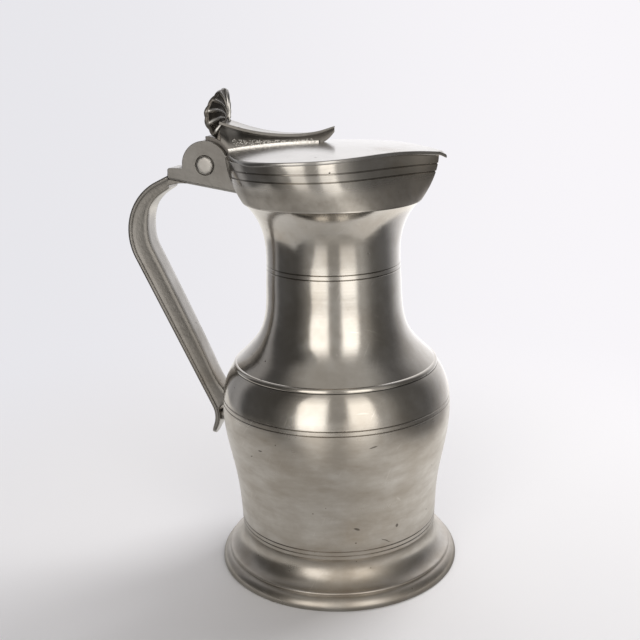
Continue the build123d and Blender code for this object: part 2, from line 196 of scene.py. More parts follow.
# Shell thumbpiece
shell_axes = (12.8, 14.6, 22.7)
shell_centre = (pin_x + 11.1 - shell_axes[0], 0.0, pin_z + 25.0)
shell_bow = (11.5, 14.1, 21.4)
shell_root_drop = 6.0
shell_up = 15.0
shell_side = 12.5
shell_down = 12.5
shell_widest = 4.0
shell_spread = 150.0
shell_ribs = 11
shell_root = 3.1
shell_plate = 1.1
shell_ridge = 0.75
shell_lobe = 0.025
stem_levels = [(-15.2, 7.6, 2.2, 2.9), (-13.6, 7.7, 2.0, 2.8), (-11.0, 8.4, 1.7, 2.7), (-8.5, 9.0, 1.4, 2.8)]
stem_levels += [(-6.0, 9.5, 1.2, 2.9), (-4.0, 9.8, 1.0, 2.6), (-2.6, 10.0, 0.6, 1.8)]

# Camera, set where the picture of the pitcher was taken from
camera_place = (100.7, -419.6, 239.7)
camera_azimuth = 13.5
camera_pitch = 15.65
camera_turn = -0.90
camera_roll = -1.46
camera_lens = 53.87
camera_sensor = 36.0

# Light levels: round the room by degrees from the camera's side, up the panels, and along the table
room_levels = [(-180, 1.4), (-165, 1.25), (-155, 0.85), (-145, 0.5), (-130, 0.32), (-115, 0.42)]
room_levels += [(-105, 0.1), (-65, 0.08), (-55, 0.15), (-45, 0.3), (-8, 0.42), (15, 0.42), (50, 0.5)]
room_levels += [(56, 0.36), (66, 0.18), (76, 0.13), (100, 0.14), (110, 0.24), (125, 0.58), (135, 0.87)]
room_levels += [(145, 1.15), (165, 1.5), (180, 1.4)]
panel_levels = [(-90, 0.45), (-48, 0.5), (-38, 0.62), (-30, 0.95), (-22, 1.15), (-13, 1.2), (-6, 2.1)]
panel_levels += [(31, 2.1), (38, 1.7), (46, 1.35), (53, 0.8), (62, 0.5), (90, 0.45)]
table_levels = [(-0.35, 1.1), (-0.12, 0.9), (0.0, 0.72), (0.1, 0.62), (0.16, 0.5)]
level_scale = 2.0

# The room: where its panels, dark ceiling and floor begin and end, in degrees
left_panel_edges = (-41.0, -38.5, -12.0, -8.0)
right_panel_edges = (9.0, 14.0, 35.0, 42.0)
left_panel_low_inset = 8.0
left_panel_high_inset = 6.0
ceiling_lift = (46.0, 66.0)
ceiling_levels = (0.13, 0.12)
ground_lift = (-52.0, -32.0)
ground_levels = (0.27, 0.1)

# The backdrop and the table, in metres where they are places
backdrop_left = (0.80, 0.795, 0.83)
backdrop_right = (0.94, 0.92, 0.95)
backdrop_span = (-0.36, 0.3)
camera_distance = 0.43
table_reach = 3.0
table_fade = (0.12, 0.42)
table_front_end = (0.135, 0.155)
table_right_end = (0.17, 0.2)
table_left_end = (0.3, 0.36)
foot_shade = (0.055, 0.085)
key_place = (0.35, 0.5, 0.85)
key_target = (0, 0, 0.02)
key_size = (0.5, 0.5)
key_power = 5.6
key_colour = (1.0, 0.99, 0.98)


class Value:
    """A number, colour or vector on its way through a node tree."""

    def __init__(self, net, socket):
        self.net = net
        self.socket = socket

    def __add__(self, other):
        return self.net.math("ADD", self, other)

    def __radd__(self, other):
        return self.net.math("ADD", other, self)

    def __sub__(self, other):
        return self.net.math("SUBTRACT", self, other)

    def __rsub__(self, other):
        return self.net.math("SUBTRACT", other, self)

    def __mul__(self, other):
        return self.net.math("MULTIPLY", self, other)

    def __rmul__(self, other):
        return self.net.math("MULTIPLY", other, self)

    def __truediv__(self, other):
        return self.net.math("DIVIDE", self, other)

    def __rtruediv__(self, other):
        return self.net.math("DIVIDE", other, self)

    def __pow__(self, other):
        return self.net.math("POWER", self, other)

    def __gt__(self, other):
        return self.net.math("GREATER_THAN", self, other)

    def __neg__(self):
        return self.net.math("MULTIPLY", self, -1.0)


class Net:
    """Adds nodes to one tree."""

    def __init__(self, tree):
        self.tree = tree

    def node(self, kind, settings=None, inputs=None, out=0):
        """One node of a kind: its settings first, then the values or links of its sockets."""
        node = self.tree.nodes.new(kind)
        for name, value in (settings or {}).items():
            if name == "stops":
                ramp = node.color_ramp.elements
                while len(ramp) < len(value):
                    ramp.new(1.0)
                for element, (place, colour) in zip(ramp, value):
                    element.position = place
                    element.color = (*colour, 1.0)
            else:
                setattr(node, name, value)
        for key, value in (inputs or {}).items():
            if isinstance(value, Value):
                self.tree.links.new(value.socket, node.inputs[key])
            else:
                node.inputs[key].default_value = value
        return Value(self, node.outputs[out])

    def math(self, operation, *values):
        return self.node("ShaderNodeMath", {"operation": operation}, dict(enumerate(values)))

    def smooth(self, value, low, high):
        """0 below low, 1 above high, and a smooth step between."""
        settings = {"interpolation_type": "SMOOTHSTEP"}
        return self.node("ShaderNodeMapRange", settings, {0: value, 1: low, 2: high})

    def parts(self, vector):
        """The three numbers of a vector."""
        first = self.node("ShaderNodeSeparateXYZ", inputs={0: vector})
        outputs = first.socket.node.outputs
        return [Value(self, output) for output in outputs]

    def vector(self, x, y, z):
        return self.node("ShaderNodeCombineXYZ", inputs={0: x, 1: y, 2: z})

    def mix(self, share, first, second):
        """The colour first where share is 0 and second where it is 1."""
        settings = {"data_type": "RGBA"}
        return self.node("ShaderNodeMix", settings, {0: share, 6: first, 7: second}, out=2)


def cleared_net(holder):
    """The emptied node tree of a material or a world."""
    holder.use_nodes = True
    holder.node_tree.nodes.clear()
    return Net(holder.node_tree)


def tint(red, green, blue):
    """A colour with full alpha."""
    return (red, green, blue, 1.0)


def spline(points, start, end, steps):
    """A smooth curve through points with given end directions, as closely spaced points."""
    knots = np.array(points, float)
    spans = np.linalg.norm(np.diff(knots, axis=0), axis=1)
    count = len(knots)
    matrix = np.zeros((count, count))
    right = np.zeros_like(knots)
    matrix[0, 0] = 1
    matrix[-1, -1] = 1
    right[0] = np.array(start) / np.linalg.norm(start)
    right[-1] = np.array(end) / np.linalg.norm(end)
    for i in range(1, count - 1):
        before, after = 1 / spans[i - 1], 1 / spans[i]
        matrix[i, i - 1 : i + 2] = (before, 2 * (before + after), after)
        slopes = (knots[i] - knots[i - 1]) * before ** 2 + (knots[i + 1] - knots[i]) * after ** 2
        right[i] = 3 * slopes
    ways = np.linalg.solve(matrix, right)
    curve = []
    for i in range(count - 1):
        for s in np.arange(steps) / steps:
            a, b = knots[i], knots[i + 1]
            u, v = ways[i] * spans[i], ways[i + 1] * spans[i]
            curve.append(
                a * (2 * s ** 3 - 3 * s ** 2 + 1)
                + b * (3 * s ** 2 - 2 * s ** 3)
                + u * (s ** 3 - 2 * s ** 2 + s)
                + v * (s ** 3 - s ** 2)
            )
    curve.append(knots[-1])
    return np.array(curve)


def free_spline(places, values, wanted):
    """A smooth run of values over places, read at the wanted places."""
    points = np.column_stack([places, values])
    first = points[1] - points[0]
    last = points[-1] - points[-2]
    curve = spline(points, first, last, 24)
    return np.interp(wanted, curve[:, 0], curve[:, 1])


def arc(first, middle, last, steps=10):
    """Points on the arc through three points, without the last one."""
    (ax, ay), (bx, by), (cx, cy) = first, middle, last
    d = 2 * (ax * (by - cy) + bx * (cy - ay) + cx * (ay - by))
    a2, b2, c2 = ax * ax + ay * ay, bx * bx + by * by, cx * cx + cy * cy
    x = (a2 * (by - cy) + b2 * (cy - ay) + c2 * (ay - by)) / d
    y = (a2 * (cx - bx) + b2 * (ax - cx) + c2 * (bx - ax)) / d
    radius = math.hypot(ax - x, ay - y)
    start = math.atan2(ay - y, ax - x)
    turn = (math.atan2(cy - y, cx - x) - start) % math.tau
    mid = (math.atan2(by - y, bx - x) - start) % math.tau
    if mid > turn:
        turn -= math.tau
    angles = [start + turn * i / steps for i in range(steps)]
    return [(x + radius * math.cos(angle), y + radius * math.sin(angle)) for angle in angles]


def fillet_path(corners, radii, step):
    """A path through corners with rounded turns, as evenly spaced points."""
    corners = [np.array(corner, float) for corner in corners]
    points = [corners[0]]
    for before, corner, after, radius in zip(corners, corners[1:], corners[2:], radii):
        inward = (before - corner) / np.linalg.norm(before - corner)
        outward = (after - corner) / np.linalg.norm(after - corner)
        half = math.acos(float(np.clip(inward @ outward, -1, 1))) / 2
        centre = corner + (inward + outward) / np.linalg.norm(inward + outward) * radius / math.sin(half)
        first = corner + inward * radius / math.tan(half)
        last = corner + outward * radius / math.tan(half)
        start = math.atan2(*(first - centre)[::-1])
        turn = (math.atan2(*(last - centre)[::-1]) - start + math.pi) % math.tau - math.pi
        for i in range(41):
            angle = start + turn * i / 40
            points.append(centre + radius * np.array([math.cos(angle), math.sin(angle)]))
    points.append(corners[-1])
    points = np.array(points)
    lengths = np.concatenate([[0], np.cumsum(np.linalg.norm(np.diff(points, axis=0), axis=1))])
    wanted = np.linspace(0, lengths[-1], int(lengths[-1] / step) + 2)
    return np.column_stack([np.interp(wanted, lengths, points[:, k]) for k in (0, 1)])


def make_piece(name, vertices, faces, body, material, replaced=(), sharp=32):
    """A finished piece from vertices in millimetres."""
    mesh = bpy.data.meshes.new(name)
    mesh.from_pydata([tuple(float(c) * mm for c in vertex) for vertex in vertices], [], faces)
    return finish_piece(name, mesh, body, material, replaced, sharp)


def linked_object(name, mesh):
    """A new object with a mesh, in the scene."""
    each = bpy.data.objects.new(name, mesh)
    bpy.context.scene.collection.objects.link(each)
    return each


def modified_mesh(helper):
    """The mesh that a helper's modifiers make. The helper is removed."""
    graph = bpy.context.evaluated_depsgraph_get()
    mesh = bpy.data.meshes.new_from_object(helper.evaluated_get(graph))
    helper.modifiers.clear()
    bpy.data.objects.remove(helper)
    return mesh


def evenly_shaded(name, mesh):
    """The mesh with its large faces kept flat and its worn edges shaded between them."""
    helper = linked_object(name + "_plain", mesh)
    weigh = helper.modifiers.new("weigh", "WEIGHTED_NORMAL")
    weigh.keep_sharp = True
    weigh.weight = 100
    return modified_mesh(helper)


def finish_piece(name, mesh, body, material, replaced=(), sharp=32, even_shading=False):
    """Cleans a mesh, smooths it between its sharp edges and puts it on its body."""
    work = bmesh.new()
    work.from_mesh(mesh)
    bmesh.ops.remove_doubles(work, verts=work.verts, dist=0.004 * mm)
    bmesh.ops.recalc_face_normals(work, faces=work.faces)
    work.to_mesh(mesh)
    work.free()
    mesh.shade_smooth()
    mesh.set_sharp_from_angle(angle=math.radians(sharp))
    if even_shading:
        mesh = evenly_shaded(name, mesh)
    piece = linked_object(name, mesh)
    piece.data.materials.clear()
    piece.data.materials.append(material)
    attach(piece, body)
    if replaced:
        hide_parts(*replaced)
    return piece


def grid_faces(rows, columns, closed_rows=False, closed_columns=False):
    """Quads over a grid of vertices stored row by row."""
    faces = []
    for i in range(rows if closed_rows else rows - 1):
        for j in range(columns if closed_columns else columns - 1):
            a, b = i * columns + j, i * columns + (j + 1) % columns
            c, d = ((i + 1) % rows) * columns + (j + 1) % columns, ((i + 1) % rows) * columns + j
            faces.append((a, b, c, d))
    return faces


def tube_faces(rows, columns):
    """The faces of a tube of rings stored ring by ring, with both of its ends closed."""
    faces = grid_faces(rows, columns, closed_columns=True)
    faces.append(tuple(range(columns))[::-1])
    faces.append(tuple(range((rows - 1) * columns, rows * columns)))
    return faces


def new_tree(name, inputs):
    """An empty tree with named inputs for a shape."""
    tree = bpy.data.node_groups.new(name, "GeometryNodeTree")
    tree.interface.new_socket("Geometry", in_out="INPUT", socket_type="NodeSocketGeometry")
    for label, kind in inputs.items():
        tree.interface.new_socket(label, in_out="INPUT", socket_type="NodeSocket" + kind)
    tree.interface.new_socket("Geometry", in_out="OUTPUT", socket_type="NodeSocketGeometry")
    net = Net(tree)
    start = tree.nodes.new("NodeGroupInput")
    values = {socket.name: Value(net, socket) for socket in start.outputs if socket.name}
    return net, values


def end_tree(net, geometry, finish):
    """Ends a tree with real meshes that carry their material."""
    real = net.node("GeometryNodeRealizeInstances", inputs={0: geometry})
    done = net.node("GeometryNodeSetMaterial", inputs={0: real, 2: finish})
    net.tree.links.new(done.socket, net.tree.nodes.new("NodeGroupOutput").inputs[0])
    return net.tree


def grown_mesh(name, mesh, tree, values):
    """The plain mesh that a tree grows from a mesh."""
    seed = linked_object(name + "_seed", mesh)
    modifier = seed.modifiers.new("grow", "NODES")
    modifier.node_group = tree
    for item in tree.interface.items_tree:
        if item.in_out == "INPUT" and item.name in values:
            modifier[item.identifier] = values[item.name]
    return modified_mesh(seed)


def line_mesh(name, points, closed):
    """A mesh of edges along points in millimetres."""
    mesh = bpy.data.meshes.new(name)
    edges = [(i, i + 1) for i in range(len(points) - 1)]
    if closed:
        edges.append((len(points) - 1, 0))
    mesh.from_pydata([tuple(float(c) * mm for c in point) for point in points], edges, [])
    return mesh


def turning_tree():
    """Turns a closed outline in X and Z about the axis, a little unevenly as by hand."""
    kinds = {
        "Points": "Int", "Sides": "Int", "Unevenness": "Float", "Patch": "Float", "Seed": "Float",
        "Finish": "Material",
    }
    net, given = new_tree("turned_outline", kinds)
    columns = given["Sides"] + 1.0
    grid = net.node("GeometryNodeMeshGrid", inputs={2: given["Points"] + 1.0, 3: columns})
    index = net.node("GeometryNodeInputIndex")
    row = net.math("FLOOR", (index + 0.5) / columns)
    column = index - row * columns
    place = net.math("MODULO", row, given["Points"])
    sample = net.node(
        "GeometryNodeSampleIndex",
        {"data_type": "FLOAT_VECTOR", "domain": "POINT"},
        {0: given["Geometry"], 1: net.node("GeometryNodeInputPosition"), 2: net.math("ROUND", place, 0.0)},
    )
    radius, _, height = net.parts(sample)
    angle = column * math.tau / given["Sides"]
    across = net.math("COSINE", angle, 0.0)
    along = net.math("SINE", angle, 0.0)
    patch = given["Patch"]
    spot = net.vector(radius * across / patch, radius * along / patch, height / patch)
    settings = {"noise_dimensions": "4D"}
    bumps = net.node("ShaderNodeTexNoise", settings, {0: spot, 1: given["Seed"], 2: 1.0, 3: 1.0})
    pushed = radius - bumps * given["Unevenness"]
    position = net.vector(pushed * across, pushed * along, height)
    turned = net.node("GeometryNodeSetPosition", inputs={0: grid, 2: position})
    merged = net.node("GeometryNodeMergeByDistance", inputs={0: turned, 2: 0.001 * mm})
    return end_tree(net, merged, given["Finish"])


def turned_piece(name, outline, material, replaced, sides=256, sharp=32):
    """A piece turned on the pitcher's axis from a closed outline of radius and height."""
    mesh = line_mesh(name, [(r, 0, z) for r, z in outline], True)
    values = {
        "Points": len(outline),
        "Sides": sides,
        "Unevenness": 0.22 * mm,
        "Patch": 26.0 * mm,
        "Seed": 4.0,
        "Finish": material,
    }
    grown = grown_mesh(name, mesh, turning, values)
    return finish_piece(name, grown, "pitcher", material, replaced, sharp)


def incise(heights_and_radii, lines):
    """The outline with a pointed groove cut at each line's height."""
    radii = np.array([point[0] for point in heights_and_radii])
    heights = np.array([point[1] for point in heights_and_radii])
    half = line_width / 2
    extra = [line + share * half for line in lines for share in line_shape]
    every = np.array(sorted(set(heights.tolist() + extra)))
    every = every[(every >= heights.min()) & (every <= heights.max())]
    smooth = np.interp(every, heights, radii)
    cut = np.zeros_like(every)
    for line in lines:
        cut = np.maximum(cut, line_depth * np.clip(1 - np.abs(every - line) / half, 0, 1) ** 0.8)
    return list(zip(smooth - cut, every))


def lower_wall(inset):
    return spline([(r - inset, z) for r, z in lower_points], *lower_ends, 30)


def neck_wall(inset):
    return spline([(r - inset, z) for r, z in neck_points], *neck_ends, 26)


def body_radius(height):
    """The radius of the outside of the lower body at a height."""
    wall = lower_wall(0)
    return float(np.interp(height, wall[:, 1], wall[:, 0]))


def make_foot():
    ovolo_top = foot_radius - ovolo_inset
    ring_low = ovolo_height + ring_groove
    ring_top = ring_low + ring_height
    cove_low = ovolo_top - ring_groove
    hollow = cavetto_depth / math.sqrt(2)
    cove = ((cove_low + foot_top_radius) / 2 - hollow, (ring_top + foot_height) / 2 - hollow)
    seat = foot_height - base_thickness
    inner = foot_top_radius - body_wall - base_rebate
    land = foot_radius - foot_land
    edge = foot_radius - foot_edge
    corner = foot_edge * (1 - math.sqrt(0.5))
    crown = ((foot_radius + ovolo_top) / 2 + ovolo_crown, (foot_edge + ovolo_height) / 2 + ovolo_crown / 2)
    outline = [(land, 0), (edge - 0.6, 0)]
    outline += arc((edge, 0), (foot_radius - corner, corner), (foot_radius, foot_edge), 6)
    outline += arc((foot_radius, foot_edge), crown, (ovolo_top, ovolo_height), 22)
    groove = cove_low + 0.12
    outline += [(ovolo_top, ovolo_height), (groove, ring_low - 0.12), (groove, ring_low + 0.05)]
    ring_middle = (ovolo_top + 0.1, ring_low + 0.6)
    outline += arc((ovolo_top - 0.15, ring_low + 0.1), ring_middle, (ovolo_top - 0.3, ring_top), 8)
    outline += arc((cove_low, ring_top + 0.1), cove, (foot_top_radius, foot_height), 40)
    outline += [(foot_top_radius, foot_height), (foot_top_radius - base_rebate, foot_height)]
    outline += [(foot_top_radius - base_rebate, seat), (inner, seat)]
    under_cove = (cove[0] - body_wall, cove[1] - body_wall)
    outline += arc((inner, seat - base_thickness), under_cove, (land, 0), 16)
    return turned_piece("spread_foot", outline, pewter["turned"], ["foot"])


def make_lower_body():
    outer = incise([tuple(point) for point in lower_wall(0)], lower_lines)
    inner = [tuple(point) for point in lower_wall(body_wall)[::3]][::-1]
    return turned_piece("round_body", outer + inner, pewter["turned"], ["lower_body"])


def make_neck():
    shoulder_radius = lower_points[-1][0]
    base_radius = neck_points[0][0]
    bead_top = shoulder + bead_height
    middle = ((shoulder_radius + base_radius) / 2 + bead_crown, shoulder + bead_height / 2)
    outline = [(shoulder_radius - 0.35, shoulder + 0.02)]
    outline += arc((shoulder_radius - 0.05, shoulder + 0.3), middle, (base_radius, bead_top), 12)
    outline += incise([tuple(point) for point in neck_wall(0)], neck_lines)
    outline += [tuple(point) for point in neck_wall(body_wall)[::3]][::-1]
    outline += [(shoulder_radius - body_wall, shoulder + 0.02)]
    return turned_piece("waisted_neck", outline, pewter["turned"], ["neck"])


def mouth_outline(blend, grow, count=110):
    """One level line of the collar: round at blend 0, pointed at the spout at blend 1."""
    half = []
    for x, y in mouth_points:
        reach = math.hypot(x, y)
        level = (1 - blend) * (neck_points[-1][0] + collar_lap) + blend * reach + grow
        half.append((x / reach * level, y / reach * level))
    return both_halves(half, blend, count)


def both_halves(half, blend, count):
    """A closed level line from the points of its near half, which ends at the spout."""
    flank = math.radians(90 - flank_turn * blend)
    curve = spline(half, (0.0, 1.0), (math.cos(flank), -math.sin(flank)), 40)
    where = np.linspace(0, len(curve) - 1, count)
    side = np.column_stack([np.interp(where, np.arange(len(curve)), curve[:, k]) for k in (0, 1)])
    other = side[-2:0:-1] * (1, -1)
    return np.vstack([side, other])


def lid_outline(inset, count=110):
    """The lid from above: drawn in beside the hinge, and past the collar elsewhere."""
    half = [(x, y) for x, y in lid_back]
    for x, y in mouth_points[2:]:
        reach = math.hypot(x, y)
        half.append((x * (1 + lid_overhang / reach), y * (1 + lid_overhang / reach)))
    outline = both_halves(half, 1.0, count)
    return outline * (1 - inset / np.linalg.norm(outline, axis=1))[:, None]


def collar_blend(height):
    return 1 - (1 - min(height, collar_height) / collar_height) ** collar_fullness


def dome_height(radius):
    """The height of the lid's underside at a distance from the axis."""
    sphere = (back_reach ** 2 + lid_rise ** 2) / (2 * lid_rise)
    start = tip_reach + lid_overhang - beak_length
    round_part = lid_middle - sphere + np.sqrt(sphere ** 2 - np.minimum(radius, start) ** 2)
    return round_part - beak_drop * np.clip(radius - start, 0, None) / beak_length


def make_collar():
    """The collar as columns: up the outside, over the lip and down the inside."""
    half = line_width / 2
    levels = list(np.linspace(0, collar_height, 26))
    for drop in collar_line_drops:
        for share in (-1.2, -0.9, -0.3, 0.3, 0.9, 1.2):
            levels.append(collar_height - drop + share * half)
    rings = []
    for height in sorted(levels):
        cut = 0
        for drop in collar_line_drops:
            away = abs(height - collar_height + drop) / half
            cut = max(cut, line_depth * min(1, max(0, 1.6 - 1.6 * away ** 2)))
        outline = mouth_outline(collar_blend(height), -cut)
        rings.append(np.column_stack([outline, np.full(len(outline), crease + height)]))
    for inset, below in lip_profile:
        outline = mouth_outline(1.0, -inset)
        top = dome_height(np.hypot(outline[:, 0], outline[:, 1])) - lid_gap - below
        rings.append(np.column_stack([outline, top]))
    for height in np.linspace(collar_height - 1.0, 0, 14):
        outline = mouth_outline(collar_blend(height), -collar_wall)
        rings.append(np.column_stack([outline, np.full(len(outline), crease + height)]))
    vertices = np.vstack(rings)
    faces = grid_faces(len(rings), len(rings[0]), closed_rows=True, closed_columns=True)
    finish = pewter["turned"]
    return make_piece("spouted_collar", vertices, faces, "pitcher", finish, ["lip_collar"])


def lid_ring(inset, share):
    """A level line of the lid, with the notch for the hinge, drawn in by inset or towards the middle."""
    outline = lid_outline(inset)
    half = ear_outside + lid_notch + inset
    bottom = pin_x + math.sqrt(knuckle_radius ** 2 - (rim - pin_z) ** 2) + inset
    notch = (outline[:, 0] < bottom) & (np.abs(outline[:, 1]) < half)
    outline[notch, 0] = bottom
    edges = []
    for side in (1, -1):
        x = float(np.interp(half, outline[:30, 1][~notch[:30]], outline[:30, 0][~notch[:30]]))
        edges.append((side, x))
    first = int(np.argmax(~notch))
    outline[first - 1] = (bottom, half)
    outline[first] = (edges[0][1], half)
    outline[-first] = (edges[1][1], -half)
    outline[-first + 1] = (bottom, -half)
    return outline * share


def make_lid():
    """A thin domed plate with a rounded edge and a drooping beak."""
    rings = []

    def add(inset, share, lift):
        outline = lid_ring(inset, share)
        height = dome_height(np.hypot(outline[:, 0], outline[:, 1])) + lift
        rings.append(np.column_stack([outline, height]))

    for share in np.concatenate([np.linspace(0.02, 0.94, 26), [0.965, 0.98]]):
        add(0.3, share, lid_thickness)
    for inset, lift in lid_edge:
        add(inset, 1.0, lift)
    for share in np.concatenate([[0.98], np.linspace(0.94, 0.02, 16)]):
        add(0.3, share, 0)
    faces = tube_faces(len(rings), len(rings[0]))
    return make_piece("lid_plate", np.vstack(rings), faces, "lid", pewter["lid"], ["lid"])


def make_wedge():
    """The long rib on the lid: a flat top over hollow flanks, rising to a notched tip."""
    table = np.array(wedge_sections)
    distances = table[:, 0]
    stations = np.concatenate([np.linspace(distances[0], 52, 60), np.linspace(52.6, distances[-1], 18)])
    rises = free_spline(distances, table[:, 1], stations)
    tops = free_spline(distances, table[:, 2], stations)
    feet = free_spline(distances, table[:, 3], stations)
    rings = []
    for distance, rise, top_half, foot_half in zip(stations, rises, tops, feet):
        x = pin_x + distance
        top = lid_top + rise
        floor = float(dome_height(abs(x))) + lid_thickness
        if distance < knuckle_radius:
            floor = max(floor, pin_z + math.sqrt(knuckle_radius ** 2 - distance ** 2))
        tip = np.clip((distance - 53.0) / (distances[-1] - 53.0), 0, 1)
        foot = (1 - tip ** 1.4) * floor + tip ** 1.4 * (top - wedge_tip_depth)
        lip = top - wedge_edge * (1 - 0.25 * tip)
        waist = foot_half + (top_half - foot_half) * flank_share
        belt = foot + (lip - foot) * flank_level
        flank = arc((foot_half, foot), (waist, belt), (top_half, lip), 14)
        sag = 0.35 * (1 - tip) * min(1.0, top_half / 4)
        notch = 0.7 * tip ** 2
        half = [(foot_half, foot - 0.5)] + flank
        half += [(top_half, lip), (top_half, top - 0.35), (top_half - 0.12, top - 0.1)]
        half += [(top_half * 0.93 - 0.1, top)]
        half += [(top_half * 0.6, top - 0.6 * sag - 0.3 * notch), (top_half * 0.25, top - sag - notch)]
        ring = [(x, y, z) for y, z in half] + [(x, -y, z) for y, z in half[::-1]]
        rings.append(ring)
    vertices = [point for ring in rings for point in ring]
    faces = tube_faces(len(rings), len(rings[0]))
    return make_piece("lid_rib", vertices, faces, "lid", pewter["rib"], ["lid_wedge"], 28)


def shell_tree():
    """A bowed shell whose ribs leave the root side by side and spread to a lobed rim."""
    kinds = {
        "Ribs": "Int", "Up": "Float", "Side": "Float", "Down": "Float", "Root": "Float", "Spread": "Float",
        "Widest": "Float", "Bow": "Vector", "Drop": "Float", "Plate": "Float", "Ridge": "Float",
        "Lobe": "Float", "Finish": "Material",
    }
    net, given = new_tree("fluted_shell", kinds)
    across_count, out_count = 331.0, 97.0
    grid = net.node("GeometryNodeMeshGrid", inputs={2: int(across_count), 3: int(out_count)})
    index = net.node("GeometryNodeInputIndex")
    row = net.math("FLOOR", (index + 0.5) / out_count)
    column = index - row * out_count
    side = row / (across_count - 1) * 2 - 1
    loop = column / (out_count - 1) * 2 - 1
    out = 1 - net.math("ABSOLUTE", loop, 0.0)
    rest = 1 - out
    front = net.math("SIGN", loop, 0.0)
    rib = net.math("ABSOLUTE", net.math("SINE", (side + 1) / 2 * given["Ribs"] * math.pi, 0.0), 0.0)
    angle = side * given["Spread"]
    sine, cosine = net.math("SINE", angle, 0.0), net.math("COSINE", angle, 0.0)
    height = given["Down"] + (given["Up"] - given["Widest"] - given["Down"]) * (cosine > 0.0)
    lobe = 1 + given["Lobe"] * (rib - 0.8) * net.smooth(out, 0.8, 1.0)
    rim_y = given["Side"] * sine * lobe
    rim_z = given["Widest"] + height * cosine * lobe
    root_y = side * given["Root"]
    knee_z = given["Up"] * (0.46 + 0.2 * cosine)
    y = root_y * rest * rest + root_y * 2.3 * rest * out + rim_y * out * out
    z = knee_z * 2 * rest * out + rim_z * out * out - given["Drop"]
    z = z - net.math("ABSOLUTE", root_y, 0.0) * 0.3 * rest
    deep, wide, tall = net.parts(given["Bow"])
    inside = 1 - (y / wide) ** 2.0 - (z / tall) ** 2.0
    x = deep * net.math("SQRT", net.math("MAXIMUM", inside, 0.02), 0.0)
    steepest = net.vector(x / deep ** 2.0, y / wide ** 2.0, z / tall ** 2.0)
    way = net.node("ShaderNodeVectorMath", {"operation": "NORMALIZE"}, {0: steepest})
    rolled = net.smooth(out, 0.88, 0.97)
    edge = net.math("SQRT", net.math("MAXIMUM", 1 - net.smooth(out, 0.94, 1.0) ** 2.0, 0.0), 0.0)
    sides = net.math("SQRT", net.math("MAXIMUM", 1 - net.math("ABSOLUTE", side, 0.0) ** 40.0, 0.0), 0.0)
    ridge = rib ** 7.0 * net.smooth(out, 0.02, 0.3) * (1 - rolled * 0.8)
    relief = ridge + rolled * 0.6
    lift = (front * given["Plate"] / 2 + (front > 0.0) * relief * given["Ridge"]) * edge * sides
    pushed = net.node("ShaderNodeVectorMath", {"operation": "SCALE"}, {0: way, 3: lift})
    surface = net.node("ShaderNodeVectorMath", {"operation": "ADD"}, {0: net.vector(x, y, z), 1: pushed})
    shaped = net.node("GeometryNodeSetPosition", inputs={0: grid, 2: surface})
    settings = {"data_type": "FLOAT", "domain": "POINT"}
    # The rib crests, kept for the painted shade on the rest of the shell
    marked = net.node("GeometryNodeStoreNamedAttribute", settings, {0: shaped, 2: "relief", 3: ridge})
    merged = net.node("GeometryNodeMergeByDistance", inputs={0: marked, 2: 0.01 * mm})
    return end_tree(net, merged, given["Finish"])


def make_shell():
    values = {
        "Ribs": shell_ribs,
        "Up": shell_up * mm,
        "Side": shell_side * mm,
        "Down": shell_down * mm,
        "Root": shell_root * mm,
        "Spread": math.radians(shell_spread),
        "Widest": shell_widest * mm,
        "Bow": [axis * mm for axis in shell_bow],
        "Drop": shell_root_drop * mm,
        "Plate": shell_plate * mm,
        "Ridge": shell_ridge * mm,
        "Lobe": shell_lobe,
        "Finish": pewter["shell"],
    }
    seed = line_mesh("shell_seed", [(0, 0, 0), (1, 0, 0)], False)
    mesh = grown_mesh("shell", seed, shell_tree(), values)
    mesh.transform(Matrix.Translation(Vector(shell_centre) * mm))
    work = bmesh.new()
    work.from_mesh(mesh)
    work.from_mesh(shell_stem())
    work.to_mesh(mesh)
    work.free()
    return finish_piece("shell_thumbpiece", mesh, "lid", pewter["shell"], ["thumbpiece"], 60)


def shell_stem():
    """The neck of the shell, flared where it meets the knuckle."""
    sides = 28
    vertices = []
    for height, middle, half_x, half_y in stem_levels:
        for i in range(sides):
            angle = math.tau * i / sides
            x = middle + half_x * math.copysign(abs(math.cos(angle)) ** 0.6, math.cos(angle))
            y = half_y * math.copysign(abs(math.sin(angle)) ** 0.6, math.sin(angle))
            vertices.append((Vector((x, y, height)) + Vector(shell_centre)) * mm)
    mesh = bpy.data.meshes.new("shell_stem")
    mesh.from_pydata(vertices, [], tube_faces(len(stem_levels), sides))
    return mesh


def dressed_copy(name, node, body, material, edge, chamfer=None, sharp=32):
    """A copy of a node with its edges worn round, and a wide chamfer on the edges that chamfer picks."""
    mesh = nodes[node].data.copy()
    work = bmesh.new()
    work.from_mesh(mesh)
    bmesh.ops.remove_doubles(work, verts=work.verts, dist=0.002 * mm)
    bmesh.ops.dissolve_limit(work, angle_limit=math.radians(0.6), verts=work.verts, edges=work.edges)
    if chamfer:
        wide = [each for each in work.edges if all(chamfer(vertex.co / mm) for vertex in each.verts)]
        bmesh.ops.bevel(work, geom=wide, offset=ear_chamfer * mm, segments=1, affect="EDGES", profile=0.5)
    work.to_mesh(mesh)
    work.free()
    helper = linked_object(name + "_copy", mesh)
    bevel = helper.modifiers.new("worn", "BEVEL")
    bevel.width = edge * mm
    bevel.segments = 3
    bevel.limit_method = "ANGLE"
    bevel.angle_limit = math.radians(sharp)
    return finish_piece(name, modified_mesh(helper), body, material, [node], 50, True)


def on_lower_edge(point):
    """Whether a corner of an ear lies on the outer one of its two lower edges."""
    low = pin_z - arm_low_drop - arm_slope * (point.x - pin_x + arm_length)
    return abs(point.z - low) < 0.05 and abs(abs(point.y) - ear_outside) < 0.05


